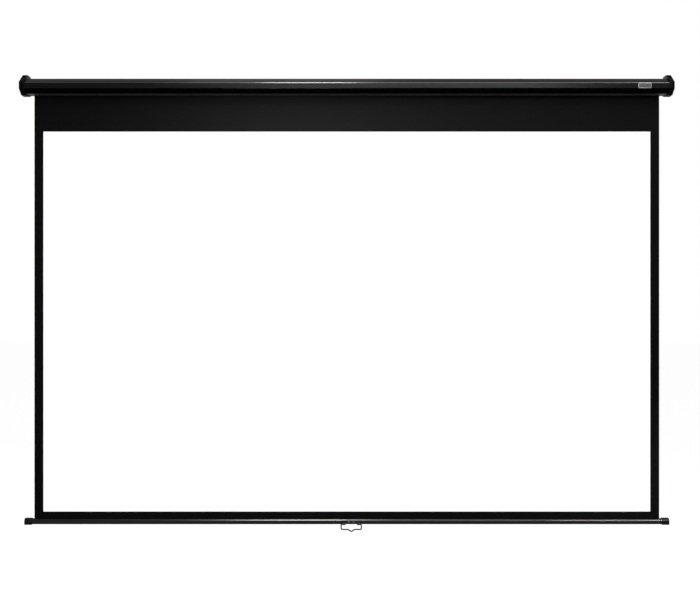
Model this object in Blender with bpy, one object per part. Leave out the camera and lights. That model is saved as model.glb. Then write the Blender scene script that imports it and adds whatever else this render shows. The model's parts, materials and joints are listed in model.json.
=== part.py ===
"""A wall-hung pull-down projector screen, fully drawn, with its spring roller, case, sheet and weight bar.

Metres, +Z up. The front faces -Y and +X is to the viewer's right. The origin lies on the wall plane,
on the flat back of the case and half way along it.
"""

import math

import bmesh
import bpy
from mathutils import Matrix, Vector

# Gap that pieces keep where they touch or run on each other
GAP = 0.0003

# Screen sheet
VIEW_WIDTH = 2.024
VIEW_HEIGHT = 1.267
SIDE_BORDER = 0.030
VIEW_TOP_Z = -0.1425
BOTTOM_BORDER = 0.0235
SHEET_Y = -0.015
SHEET_THICKNESS = 0.0004
COATING_THICKNESS = 0.0002

# Case, a bent aluminium section with a slot for the sheet
CASE_WALL = 0.0013
CASE_DEPTH = 0.067
CASE_TOP_Z = 0.027
CASE_TOP_DEPTH = 0.045
FRONT_TOP_Z = 0.009
FRONT_BOTTOM_Z = -0.010
UNDERSIDE_DEPTH = 0.050
UNDERSIDE_Z = -0.024
REAR_FLANGE_Z = -0.021
SLOT_FRONT = 0.0080
SLOT_REAR = 0.0055
LIP_RISE = 0.004
BACK_CORNER = 0.0016
FRONT_CORNER = 0.0030
CASE_MARGIN = 0.0166

# Open channels inside the case that the cap screws cut their thread in
PORT_BORE = 0.0018
PORT_WALL = 0.0012
PORT_STANDOFF = 0.0025
PORT_MOUTH_DEG = 35.0
PORT_TOP_FROM_BACK = 0.0067
PORT_FRONT_FROM_TOP = 0.0065
PORT_UNDER_FROM_FRONT = 0.0110

# End caps with hanging ears
CAP_WIDTH = 0.0164
CAP_WALL = 0.0018
CAP_END_WALL = 0.0030
CAP_EDGE = 0.0020
CAP_INNER_EDGE = 0.0008
CAP_CORNER = 0.0040
CAP_LEAST_CORNER = 0.0004
CAP_PANEL_INSET = 0.0022
CAP_PANEL_DEPTH = 0.0008
CAP_SHOULDER = 0.0030
CAP_BELLY = 0.0025
CAP_BELLY_REAR_Y = -0.022
CAP_BELLY_FRONT_Y = -0.048
EAR_RISE = 0.015
EAR_DEPTH = 0.033
EAR_BACK_DROP = 0.0035
EAR_HOLE_RADIUS = 0.00325
EAR_HOLE_BELOW_TOP = 0.0075
EAR_SEAT = 0.008
EAR_COUNTERBORE_RADIUS = 0.0055

# Countersunk cap screws
CAP_SCREW_RADIUS = 0.0015
CAP_SCREW_LENGTH = 0.016
CAP_SCREW_HEAD_RADIUS = 0.0033
CAP_SCREW_HEAD_HEIGHT = 0.0018
CAP_SCREW_SINK = 0.0001

# Brackets that carry the roller
BRACKET_PLATE = 0.0020
BRACKET_INSET = 0.0004
BRACKET_HUB_RADIUS = 0.0090
BRACKET_HUB_REACH = 0.0055

# Roller
TUBE_RADIUS = 0.0175
TUBE_WALL = 0.0012
TUBE_END_CLEARANCE = 0.0067
ROLLER_Z = 0.0015
WRAPS = 1.5
WRAP_STEPS = 24

# Spindle with a flat tongue, held still by the left bracket
SPINDLE_RADIUS = 0.0040
SPINDLE_FLAT = 0.0032
SPINDLE_TONGUE = 0.0115
SPINDLE_PAST_SPRING = 0.022

# Ratchet on the spindle and pawls on the roller's spring plug
RATCHET_RADIUS = 0.0080
RATCHET_THICKNESS = 0.0047
RATCHET_RECESS = 0.0020
NOTCH_DEPTH = 0.0022
NOTCH_RAMP_DEG = 42.0
PAWL_PIVOT_RADIUS = 0.0124
PAWL_PIVOT_DEG = 42.0
PAWL_TIP_DEG = 90.0
PAWL_BOSS_RADIUS = 0.0030
PAWL_PIN_RADIUS = 0.0015
PAWL_PIN_HEAD_RADIUS = 0.0023
PAWL_PIN_HEAD = 0.0006
PAWL_PIN_SEAT = 0.0026
PAWL_THICKNESS = 0.0040
PAWL_NOSE_HEIGHT = 0.0042
PAWL_NOSE_DEG = 14.0
PAWL_UNDERCUT = 0.0005

# Plugs in the tube's ends
PLUG_FLANGE = 0.0036
PLUG_BODY = 0.0230
PLUG_CORE_RADIUS = 0.0125
PLUG_RIBS = 6
IDLE_PLUG_RECESS = 0.0004
IDLE_PIN_RADIUS = 0.0040
BUSH_RADIUS = 0.0055
BUSH_FLANGE_RADIUS = 0.0075
BUSH_FLANGE = 0.0010

# Counterbalance spring inside the tube
SPRING_TURNS = 36
SPRING_POINTS_PER_TURN = 10
SPRING_PITCH = 0.0080
SPRING_COIL_RADIUS = 0.0090
SPRING_WIRE_RADIUS = 0.0011
SPRING_TAIL = 0.0050
SPRING_BEND = 0.0070
COLLAR_LENGTH = 0.0120
COLLAR_RADIUS = 0.0120
COLLAR_FROM_PLUG = 0.0150
DRIVE_PLUG_LENGTH = 0.0160

# Weight bar, an aluminium section with a keyhole groove for the sheet's hem rod
BAR_HEIGHT = 0.018
BAR_DEPTH = 0.014
BAR_WALL = 0.0013
BAR_FRONT_TOP_CORNER = 0.0045
BAR_FRONT_CORNER = 0.0030
BAR_REAR_CORNER = 0.0020
HEM_ROD_RADIUS = 0.0020
HEM_ROD_INSET = 0.0008
HEM_NECK_HALF = 0.0008
HEM_NECK_HEIGHT = 0.0012

# Bar end caps
BAR_CAP_FROM_SHEET = 0.0075
BAR_CAP_LENGTH = 0.0240
BAR_CAP_WALL = 0.0017
BAR_CAP_END = 0.0025
BAR_CAP_EDGE = 0.0015

# Handle
HANDLE_X = 0.0147
HANDLE_PLATE_WIDTH = 0.071
HANDLE_PLATE_HEIGHT = 0.0085
HANDLE_PLATE_BELOW_BAR_TOP = 0.0045
HANDLE_PLATE_THICKNESS = 0.0012
HANDLE_LOBE_X = 0.0075
HANDLE_LOBE_RADIUS = 0.0045
HANDLE_EAR_X = 0.0240
HANDLE_EAR_WIDTH = 0.0096
HANDLE_EAR_RADIUS = 0.0036
HANDLE_EAR_ROOT = 0.0032
BAIL_PIVOT_FORWARD = 0.0052
BAIL_PIVOT_BELOW_BAR_TOP = 0.0160
BAIL_WIRE_RADIUS = 0.0020
BAIL_HALF_WIDTH = 0.0336
BAIL_DROP = 0.0173
BAIL_TIP_DROP = 0.0248
BAIL_TIP_HALF_WIDTH = 0.0105
BAIL_END_REACH = 0.0035
BAIL_CORNER = 0.0045
HANDLE_SCREW_RADIUS = 0.0012
HANDLE_SCREW_LENGTH = 0.0065
HANDLE_SCREW_HEAD_RADIUS = 0.0029
HANDLE_SCREW_HEAD_HEIGHT = 0.0016

# Lengths worked out from the driving sizes
SHEET_HALF = VIEW_WIDTH / 2 + SIDE_BORDER
CAP_RIM_X = SHEET_HALF + CASE_MARGIN
HALF_LENGTH = CAP_RIM_X + CAP_WIDTH
BRACKET_OUTER_X = HALF_LENGTH - CAP_END_WALL - GAP
BRACKET_INNER_X = BRACKET_OUTER_X - BRACKET_PLATE
CASE_HALF = BRACKET_INNER_X - GAP
TUBE_HALF = BRACKET_INNER_X - TUBE_END_CLEARANCE
TUBE_BORE = TUBE_RADIUS - TUBE_WALL
PLUG_RADIUS = TUBE_BORE - GAP
CAP_RISE = GAP + CAP_WALL
PORT_OUTER = PORT_BORE + PORT_WALL
EAR_TOP_Z = CASE_TOP_Z + EAR_RISE
SPINDLE_BORE = SPINDLE_RADIUS + GAP

# Roller position, which puts the outermost wrap's rear side in the plane of the hanging sheet
WRAP_PITCH = SHEET_THICKNESS + GAP
WRAP_END_RADIUS = TUBE_RADIUS + GAP + SHEET_THICKNESS / 2 + WRAPS * WRAP_PITCH
ROLLER_Y = SHEET_Y - WRAP_END_RADIUS

# Heights of the weight bar
BAR_TOP_Z = VIEW_TOP_Z - VIEW_HEIGHT - BOTTOM_BORDER
BAR_Z = BAR_TOP_Z - BAR_HEIGHT / 2
HEM_GROOVE_RADIUS = HEM_ROD_RADIUS + GAP
HEM_ROD_Z = BAR_TOP_Z - HEM_NECK_HEIGHT - HEM_GROOVE_RADIUS
BAR_CAP_RIM_X = SHEET_HALF + BAR_CAP_FROM_SHEET
BAR_CAP_END_X = BAR_CAP_RIM_X + BAR_CAP_LENGTH
BAR_HALF = BAR_CAP_END_X - BAR_CAP_END - GAP
BAR_FRONT_Y = SHEET_Y - BAR_DEPTH / 2

# Handle places
PLATE_BACK_Y = BAR_FRONT_Y - GAP
PLATE_FRONT_Y = PLATE_BACK_Y - HANDLE_PLATE_THICKNESS
PLATE_TOP_Z = BAR_TOP_Z - HANDLE_PLATE_BELOW_BAR_TOP
PLATE_BOTTOM_Z = PLATE_TOP_Z - HANDLE_PLATE_HEIGHT
BAIL_PIVOT_Y = BAR_FRONT_Y - BAIL_PIVOT_FORWARD
BAIL_PIVOT_Z = BAR_TOP_Z - BAIL_PIVOT_BELOW_BAR_TOP

# Places along X of the pieces in the tube's left end, measured from the middle of the screen
SPRING_PLUG_X = TUBE_HALF - RATCHET_RECESS - RATCHET_THICKNESS - GAP
COLLAR_X = SPRING_PLUG_X - PLUG_FLANGE - PLUG_BODY - COLLAR_FROM_PLUG


# Flat outlines

def arc(centre, radius, start_deg, end_deg, steps):
    """Points on a circle, both ends included."""
    points = []
    for step in range(steps + 1):
        angle = math.radians(start_deg + (end_deg - start_deg) * step / steps)
        points.append(Vector((centre[0] + radius * math.cos(angle), centre[1] + radius * math.sin(angle))))
    return points


def circle(centre, radius, steps):
    """Points round a whole circle, the first not repeated."""
    return arc(centre, radius, 0.0, 360.0, steps)[:-1]


def polar(radius, angle_deg):
    """A flat point at this distance and angle from the origin."""
    angle = math.radians(angle_deg)
    return Vector((radius * math.cos(angle), radius * math.sin(angle)))


def left_of(direction):
    """The flat direction a quarter turn to the left."""
    return Vector((-direction.y, direction.x))


def offset_path(points, distance, closed=False):
    """The path moved to its left by a distance, its straight runs kept parallel."""
    count = len(points)
    moved = []
    for i, point in enumerate(points):
        before = points[i - 1] if closed or i else None
        after = points[(i + 1) % count] if closed or i < count - 1 else None
        if before is None:
            moved.append(point + left_of((after - point).normalized()) * distance)
            continue
        if after is None:
            moved.append(point + left_of((point - before).normalized()) * distance)
            continue
        left_in = left_of((point - before).normalized())
        left_out = left_of((after - point).normalized())
        bisector = left_in + left_out
        moved.append(point + bisector * (2 * distance / bisector.length_squared))
    return moved


def rounded(points, radii, steps=3, closed=False):
    """The path with each corner replaced by an arc of its own radius; a radius of 0 keeps it sharp."""
    count = len(points)
    result = []
    for i, (point, radius) in enumerate(zip(points, radii)):
        at_end = not closed and i in (0, count - 1)
        if at_end or radius <= 0:
            result.append(point.copy())
            continue
        back = (points[i - 1] - point).normalized()
        ahead = (points[(i + 1) % count] - point).normalized()
        half = back.angle(ahead) / 2
        setback = radius / math.tan(half)
        middle = point + (back + ahead).normalized() * (radius / math.sin(half))
        first = point + back * setback - middle
        last = point + ahead * setback - middle
        turn = first.angle_signed(last)
        for step in range(steps + 1):
            result.append(middle + first @ Matrix.Rotation(turn * step / steps, 2))
    return result


# Solids

def prism(outline, start, end):
    """A closed solid: a flat outline in Y and Z drawn out along X from start to end."""
    bm = bmesh.new()
    face = bm.faces.new([bm.verts.new((start, y, z)) for y, z in outline])
    drawn = bmesh.ops.extrude_face_region(bm, geom=[face])
    moved = [item for item in drawn["geom"] if isinstance(item, bmesh.types.BMVert)]
    bmesh.ops.translate(bm, verts=moved, vec=(end - start, 0.0, 0.0))
    bmesh.ops.recalc_face_normals(bm, faces=bm.faces)
    return bm


def lofted(rings):
    """A closed solid extruded from ring to ring, each with as many points as the one before."""
    bm = bmesh.new()
    face = bm.faces.new([bm.verts.new(point) for point in rings[0]])
    for ring in rings[1:]:
        drawn = bmesh.ops.extrude_face_region(bm, geom=[face, *face.edges])
        face = next(item for item in drawn["geom"] if isinstance(item, bmesh.types.BMFace))
        for vert, place in zip(face.verts, ring):
            vert.co = place
    bmesh.ops.recalc_face_normals(bm, faces=bm.faces)
    return bm


def turned(profile, steps=24, hollow=True):
    """A solid of revolution about X. A hollow one's profile of (x, radius) is a closed loop off the axis."""
    bm = bmesh.new()
    verts = [bm.verts.new((x, 0.0, radius)) for x, radius in profile]
    pairs = list(zip(verts, verts[1:]))
    if hollow:
        pairs.append((verts[-1], verts[0]))
    edges = [bm.edges.new(pair) for pair in pairs]
    bmesh.ops.spin(
        bm, geom=verts + edges, cent=(0, 0, 0), axis=(1, 0, 0), angle=2 * math.pi, steps=steps, use_merge=True
    )
    bmesh.ops.remove_doubles(bm, verts=bm.verts, dist=1e-6)
    bmesh.ops.recalc_face_normals(bm, faces=bm.faces)
    return bm


def rod(radius, start, end, steps=16):
    """A plain round rod along X."""
    return turned([(start, 0.0), (start, radius), (end, radius), (end, 0.0)], steps, hollow=False)


# Objects

def material(name, colour, roughness, metallic=0.0):
    """A Principled material of one colour."""
    made = bpy.data.materials.new(name)
    made.use_nodes = True
    shader = made.node_tree.nodes["Principled BSDF"]
    shader.inputs["Base Color"].default_value = (*colour, 1.0)
    shader.inputs["Roughness"].default_value = roughness
    shader.inputs["Metallic"].default_value = metallic
    return made


def place(obj, parent, at):
    """Links the object and sets it at a place in its parent's frame."""
    bpy.context.scene.collection.objects.link(obj)
    obj.parent = parent
    obj.location = at
    return obj


def piece(name, bm, finish, parent=None, at=(0.0, 0.0, 0.0), smooth_deg=35.0):
    """A named piece of the product, made from a bmesh."""
    mesh = bpy.data.meshes.new(name)
    bm.to_mesh(mesh)
    bm.free()
    mesh.materials.append(finish)
    mesh.shade_smooth()
    mesh.set_sharp_from_angle(angle=math.radians(smooth_deg))
    return place(bpy.data.objects.new(name, mesh), parent, at)


def tube_piece(name, points, radius, finish, resolution, parent=None, at=(0.0, 0.0, 0.0)):
    """A named piece of round wire that follows the points."""
    curve = bpy.data.curves.new(name, "CURVE")
    curve.dimensions = "3D"
    curve.bevel_depth = radius
    curve.bevel_resolution = resolution
    curve.use_fill_caps = True
    spline = curve.splines.new("POLY")
    spline.points.add(len(points) - 1)
    for node, point in zip(spline.points, points):
        node.co = (*point, 1.0)
    curve.materials.append(finish)
    return place(bpy.data.objects.new(name, curve), parent, at)


def axis_empty(name, at, parent=None):
    """An empty on a joint's axis, which carries the pieces that move with it."""
    return place(bpy.data.objects.new(name, None), parent, at)


def modify(target, tool_name, bm, operation, parent=None, at=(0.0, 0.0, 0.0), turn_deg=0.0):
    """Cuts a shape out of the target or joins one to it. The tool stays in the file, hidden from renders."""
    mesh = bpy.data.meshes.new(tool_name)
    bm.to_mesh(mesh)
    bm.free()
    tool = place(bpy.data.objects.new(tool_name, mesh), parent, at)
    tool.rotation_euler = (0.0, 0.0, math.radians(turn_deg))
    tool.hide_render = True
    tool.display_type = "WIRE"
    boolean = target.modifiers.new(tool_name, "BOOLEAN")
    boolean.operation = operation
    boolean.solver = "EXACT"
    boolean.object = tool
    return tool


# Case

def case_corners():
    """Outer corners of the case's section, from the slot's rear lip round the back, top and front."""
    slot_rear = SHEET_Y + SLOT_REAR
    slot_front = SHEET_Y - SLOT_FRONT
    return [
        Vector((slot_rear, REAR_FLANGE_Z + LIP_RISE)),
        Vector((slot_rear, REAR_FLANGE_Z)),
        Vector((0.0, REAR_FLANGE_Z)),
        Vector((0.0, CASE_TOP_Z)),
        Vector((-CASE_TOP_DEPTH, CASE_TOP_Z)),
        Vector((-CASE_DEPTH, FRONT_TOP_Z)),
        Vector((-CASE_DEPTH, FRONT_BOTTOM_Z)),
        Vector((-UNDERSIDE_DEPTH, UNDERSIDE_Z)),
        Vector((slot_front, UNDERSIDE_Z)),
        Vector((slot_front, UNDERSIDE_Z + LIP_RISE)),
    ]


CASE_RADII = (
    0.0, BACK_CORNER, BACK_CORNER, BACK_CORNER, FRONT_CORNER,
    FRONT_CORNER, FRONT_CORNER, FRONT_CORNER, BACK_CORNER, 0.0,
)

# Inner wall that each screw channel stands on, by the number of its first corner, and its distance from there
PORTS = ((3, PORT_TOP_FROM_BACK), (5, PORT_FRONT_FROM_TOP), (6, PORT_UNDER_FROM_FRONT))


def port_centre(inner, wall, along):
    """Middle of the screw channel that stands on this inner wall."""
    direction = (inner[wall + 1] - inner[wall]).normalized()
    return inner[wall] + direction * along + left_of(direction) * PORT_STANDOFF


def port_centres():
    """Middles of the screw channels, in Y and Z."""
    inner = offset_path(case_corners(), CASE_WALL)
    return [port_centre(inner, wall, along) for wall, along in PORTS]


def port_outline(inner, wall, along):
    """The detour that the inner wall takes round an open screw channel."""
    facing = left_of((inner[wall + 1] - inner[wall]).normalized())
    facing_deg = math.degrees(math.atan2(facing.y, facing.x))
    join_deg = math.degrees(math.acos(PORT_STANDOFF / PORT_OUTER))
    centre = port_centre(inner, wall, along)
    first_lip = facing_deg + PORT_MOUTH_DEG
    last_lip = facing_deg + 360.0 - PORT_MOUTH_DEG
    detour = arc(centre, PORT_OUTER, facing_deg + 180.0 - join_deg, first_lip, 4)
    detour += arc(centre, PORT_BORE, first_lip, last_lip, 10)
    detour += arc(centre, PORT_OUTER, last_lip, facing_deg + 180.0 + join_deg, 4)
    return detour


def case_outline():
    """The case's whole section: its outer side, then its inner side with the screw channels."""
    corners = case_corners()
    outer = rounded(corners, CASE_RADII)
    inner_corners = offset_path(corners, CASE_WALL)
    inner = []
    for i, corner in enumerate(inner_corners):
        radius = max(CASE_RADII[i] - CASE_WALL, 0.0)
        if 0 < i < len(inner_corners) - 1:
            inner += rounded(inner_corners[i - 1:i + 2], (0.0, radius, 0.0))[1:-1]
        else:
            inner.append(corner)
        for wall, along in PORTS:
            if wall == i:
                inner += port_outline(inner_corners, wall, along)
    return outer + inner[::-1]


def case_hull(outset, back_y):
    """The case's section as one filled outline, grown by outset, its back moved to back_y."""
    corners = case_corners()[1:-1]
    grown = offset_path(corners, -outset, closed=True)
    for i, corner in enumerate(corners):
        if corner.x == 0.0:
            grown[i].x = back_y
    return grown


# End caps

def cap_outline(inset=0.0):
    """Section of an end cap, drawn in by inset: a wall round the case, an ear above and a fuller belly below."""
    front_y = -(CASE_DEPTH + CAP_RISE)
    belly_z = UNDERSIDE_Z - CAP_RISE - CAP_BELLY
    corners = [
        Vector((0.0, REAR_FLANGE_Z - CAP_RISE)),
        Vector((0.0, EAR_TOP_Z - EAR_BACK_DROP)),
        Vector((-2 * EAR_BACK_DROP, EAR_TOP_Z)),
        Vector((-EAR_DEPTH, EAR_TOP_Z)),
        Vector((front_y, FRONT_TOP_Z + CAP_SHOULDER)),
        Vector((front_y, FRONT_BOTTOM_Z - CAP_INNER_EDGE)),
        Vector((CAP_BELLY_FRONT_Y, belly_z)),
        Vector((CAP_BELLY_REAR_Y, belly_z)),
    ]
    radii = [CAP_CORNER / 2] * 2 + [CAP_CORNER] * 6
    radii = [max(radius - inset, CAP_LEAST_CORNER) for radius in radii]
    return rounded(offset_path(corners, inset, closed=True), radii, closed=True)


def ring(outline, x):
    """The outline stood up at this place along X."""
    return [Vector((x, y, z)) for y, z in outline]


def end_cap(side, side_name, finish):
    """A moulded cap that slips over the case's end, with a counterbored ear and countersunk screw holes."""
    rim_x = side * CAP_RIM_X
    end_x = side * HALF_LENGTH
    panel_x = end_x - side * CAP_PANEL_DEPTH
    edge_mid = CAP_EDGE * (1 - math.cos(math.pi / 4))
    rings = [
        ring(cap_outline(CAP_INNER_EDGE), rim_x),
        ring(cap_outline(), rim_x + side * CAP_INNER_EDGE),
        ring(cap_outline(), end_x - side * CAP_EDGE),
        ring(cap_outline(edge_mid), end_x - side * edge_mid),
        ring(cap_outline(CAP_EDGE), end_x),
        ring(cap_outline(CAP_EDGE + CAP_PANEL_INSET), end_x),
        ring(cap_outline(CAP_EDGE + CAP_PANEL_INSET + CAP_PANEL_DEPTH / 2), panel_x),
    ]
    cap = piece(f"end_cap_{side_name}", lofted(rings), finish)

    past = 0.005
    cavity = prism(case_hull(GAP, past), rim_x - side * past, end_x - side * CAP_END_WALL)
    modify(cap, f"cut_cap_cavity_{side_name}", cavity, "DIFFERENCE")

    hole_x = side * (CAP_RIM_X + CAP_WIDTH / 2)
    hole_z = EAR_TOP_Z - EAR_HOLE_BELOW_TOP
    ear_hole = turned(
        [
            (past, 0.0),
            (past, EAR_HOLE_RADIUS),
            (-EAR_SEAT, EAR_HOLE_RADIUS),
            (-EAR_SEAT, EAR_COUNTERBORE_RADIUS),
            (-CASE_DEPTH, EAR_COUNTERBORE_RADIUS),
            (-CASE_DEPTH, 0.0),
        ],
        24,
        hollow=False,
    )
    modify(cap, f"cut_ear_hole_{side_name}", ear_hole, "DIFFERENCE", at=(hole_x, 0.0, hole_z), turn_deg=90.0)

    for number, centre in enumerate(port_centres(), 1):
        hole = turned(cap_screw_profile(GAP, past), 16, hollow=False)
        if side < 0:
            bmesh.ops.rotate(hole, verts=hole.verts, matrix=Matrix.Rotation(math.pi, 3, "Z"))
        where = (panel_x - side * CAP_SCREW_SINK, centre.x, centre.y)
        modify(cap, f"cut_cap_screw_{side_name}_{number}", hole, "DIFFERENCE", at=where)
    return cap


def cap_screw_profile(clearance, past=0.0):
    """Half section of a countersunk screw that points along -X, its head's face at X = 0."""
    shank = CAP_SCREW_RADIUS + clearance
    head = CAP_SCREW_HEAD_RADIUS + clearance
    profile = [(past, 0.0), (past, head)] if past else [(0.0, 0.0)]
    profile += [
        (0.0, head),
        (-CAP_SCREW_HEAD_HEIGHT, shank),
        (-CAP_SCREW_LENGTH, shank),
        (-CAP_SCREW_LENGTH, 0.0),
    ]
    return profile


def cap_screws(side, side_name, finish):
    """The screws that hold one cap and its bracket to the case."""
    panel_x = side * (HALF_LENGTH - CAP_PANEL_DEPTH - CAP_SCREW_SINK)
    for number, centre in enumerate(port_centres(), 1):
        screw = turned(cap_screw_profile(0.0), 16, hollow=False)
        if side < 0:
            bmesh.ops.rotate(screw, verts=screw.verts, matrix=Matrix.Rotation(math.pi, 3, "Z"))
        piece(f"cap_screw_{side_name}_{number}", screw, finish, at=(panel_x, centre.x, centre.y))


# Roller brackets

def roller_bracket(side, side_name, finish):
    """A steel plate clamped between cap and case, with a hub that takes the roller's spindle or bush."""
    outline = case_hull(-BRACKET_INSET, -BRACKET_INSET)
    plate = prism(outline, side * BRACKET_INNER_X, side * BRACKET_OUTER_X)
    bracket = piece(f"roller_bracket_{side_name}", plate, finish)
    axis = (0.0, ROLLER_Y, ROLLER_Z)
    hub_end = side * (BRACKET_INNER_X - BRACKET_HUB_REACH)
    hub = rod(BRACKET_HUB_RADIUS, hub_end, side * (BRACKET_INNER_X + BRACKET_PLATE / 2), 24)
    modify(bracket, f"join_hub_{side_name}", hub, "UNION", at=axis)

    past = 0.002
    start = hub_end - side * past
    end = side * (BRACKET_OUTER_X + past)
    if side < 0:
        seat = prism(spindle_section(GAP), start, end)
    else:
        seat = rod(BUSH_RADIUS + GAP, start, end, 24)
    modify(bracket, f"cut_seat_{side_name}", seat, "DIFFERENCE", at=axis)

    for number, centre in enumerate(port_centres(), 1):
        hole = rod(
            CAP_SCREW_RADIUS + GAP, side * (BRACKET_INNER_X - past), side * (BRACKET_OUTER_X + past)
        )
        name = f"cut_bracket_screw_{side_name}_{number}"
        modify(bracket, name, hole, "DIFFERENCE", at=(0.0, centre.x, centre.y))
    return bracket


# Spindle, ratchet and spring collar, which stand still

def spindle_section(clearance=0.0, steps=16):
    """Section of the spindle's tongue: a round rod with two flats."""
    half = SPINDLE_FLAT / 2 + clearance
    points = circle((0.0, 0.0), SPINDLE_RADIUS + clearance, steps)
    return [Vector((max(-half, min(half, point.x)), point.y)) for point in points]


def spindle(roller, spring_end, finish):
    """The fixed rod through the spring, its flat tongue in the left bracket."""
    round_section = circle((0.0, 0.0), SPINDLE_RADIUS, 16)
    tongue_end = -(BRACKET_OUTER_X - GAP)
    tongue_root = tongue_end + SPINDLE_TONGUE
    inner_end = spring_end.x + SPINDLE_PAST_SPRING
    shoulder = SPINDLE_RADIUS / 4
    rings = [
        ring(spindle_section(), tongue_end),
        ring(spindle_section(), tongue_root - shoulder),
        ring(round_section, tongue_root),
        ring(round_section, inner_end),
    ]
    piece("spindle", lofted(rings), finish, at=roller)


def pawl_reach():
    """Length of a pawl from its pin to its tip, which rests just clear of the ratchet."""
    return (polar(RATCHET_RADIUS + GAP, PAWL_TIP_DEG) - polar(PAWL_PIVOT_RADIUS, PAWL_PIVOT_DEG)).length


def corner_deg(near_a, near_b, opposite):
    """Angle between two sides of a triangle, opposite its third side."""
    cosine = (near_a ** 2 + near_b ** 2 - opposite ** 2) / (2 * near_a * near_b)
    return math.degrees(math.acos(cosine))


DROPPED_TIP_RADIUS = RATCHET_RADIUS - NOTCH_DEPTH + GAP
PAWL_DROP_DEG = corner_deg(PAWL_PIVOT_RADIUS, pawl_reach(), RATCHET_RADIUS + GAP) - corner_deg(
    PAWL_PIVOT_RADIUS, pawl_reach(), DROPPED_TIP_RADIUS
)
DROPPED_TIP_DEG = PAWL_PIVOT_DEG + corner_deg(PAWL_PIVOT_RADIUS, DROPPED_TIP_RADIUS, pawl_reach())
NOTCH_FACE_DEG = PAWL_TIP_DEG + math.degrees(GAP / RATCHET_RADIUS)


def ratchet_radius(angle_deg):
    """Radius of the ratchet on the ramp that falls towards its notch face."""
    share = min(max((NOTCH_FACE_DEG - angle_deg) / NOTCH_RAMP_DEG, 0.0), 1.0)
    return RATCHET_RADIUS - NOTCH_DEPTH * (1 - share)


def ratchet_outline():
    """A round hub with two notches, each a radial face at the foot of a ramp."""
    points = []
    ramp_steps = 4
    rim_steps = 9
    for turn in (180.0, 0.0):
        face_deg = NOTCH_FACE_DEG + turn
        points.append(polar(RATCHET_RADIUS, face_deg))
        for step in range(ramp_steps + 1):
            back = NOTCH_RAMP_DEG * step / ramp_steps
            points.append(polar(ratchet_radius(NOTCH_FACE_DEG - back), face_deg - back))
        points += arc((0.0, 0.0), RATCHET_RADIUS, face_deg - NOTCH_RAMP_DEG, face_deg - 180.0, rim_steps)[1:-1]
    return points


def ratchet(roller, finish):
    """The notched hub, fixed on the spindle beside the pawls."""
    outer_x = -(TUBE_HALF - RATCHET_RECESS)
    inner_x = outer_x + RATCHET_THICKNESS
    hub = piece("ratchet_hub", prism(ratchet_outline(), outer_x, inner_x), finish, at=roller)
    bore = rod(SPINDLE_BORE, outer_x - GAP, inner_x + GAP)
    modify(hub, "cut_ratchet_bore", bore, "DIFFERENCE", at=roller)


def spring_collar(roller, finish, spring_start):
    """The collar on the spindle that holds the spring's still end."""
    outer_x = -COLLAR_X
    inner_x = outer_x + COLLAR_LENGTH
    chamfer = COLLAR_RADIUS / 12
    collar = piece(
        "spring_collar",
        turned(
            [
                (outer_x, SPINDLE_BORE),
                (outer_x, COLLAR_RADIUS - chamfer),
                (outer_x + chamfer, COLLAR_RADIUS),
                (inner_x - chamfer, COLLAR_RADIUS),
                (inner_x, COLLAR_RADIUS - chamfer),
                (inner_x, SPINDLE_BORE),
            ],
            20,
        ),
        finish,
        at=roller,
    )
    socket = tail_socket(spring_start.x - GAP, inner_x + GAP)
    where = (0.0, roller[1] + spring_start.y, roller[2] + spring_start.z)
    modify(collar, "cut_collar_socket", socket, "DIFFERENCE", at=where)


# Roller

def roller_tube(roller, finish):
    """The long thin tube that the sheet winds on."""
    profile = [
        (-TUBE_HALF, TUBE_BORE), (-TUBE_HALF, TUBE_RADIUS), (TUBE_HALF, TUBE_RADIUS), (TUBE_HALF, TUBE_BORE)
    ]
    piece("roller_tube", turned(profile, 32), finish, roller)


def ribbed_outline(steps_per_rib=8):
    """Section of a plug's body: a core with ribs that grip the tube."""
    points = []
    total = PLUG_RIBS * steps_per_rib
    for step in range(total):
        on_rib = step % steps_per_rib in (0, 1)
        radius = PLUG_RADIUS - GAP if on_rib else PLUG_CORE_RADIUS
        points.append(polar(radius, 360.0 * step / total))
    return points


def plug(name, side, face_x, body, bore, roller, finish):
    """A plug in the tube: a flange whose outer face is at face_x, and a ribbed body behind it."""
    body_outline = ribbed_outline()
    flange_outline = circle((0.0, 0.0), PLUG_RADIUS, len(body_outline))
    flange_x = face_x - PLUG_FLANGE
    rings = [
        ring(flange_outline, side * face_x),
        ring(flange_outline, side * flange_x),
        ring(body_outline, side * flange_x),
        ring(body_outline, side * (flange_x - body)),
    ]
    made = piece(name, lofted(rings), finish, roller)
    past = 0.002
    tool = rod(bore, side * (face_x + past), side * (flange_x - body - past))
    modify(made, f"cut_{name}_bore", tool, "DIFFERENCE", roller)
    return made


def pawl_pivots():
    """Pawl pins' places round the roller's axis: one above it, one below."""
    pivot = polar(PAWL_PIVOT_RADIUS, PAWL_PIVOT_DEG)
    return (("upper", pivot, 0.0), ("lower", -pivot, 180.0))


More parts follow.
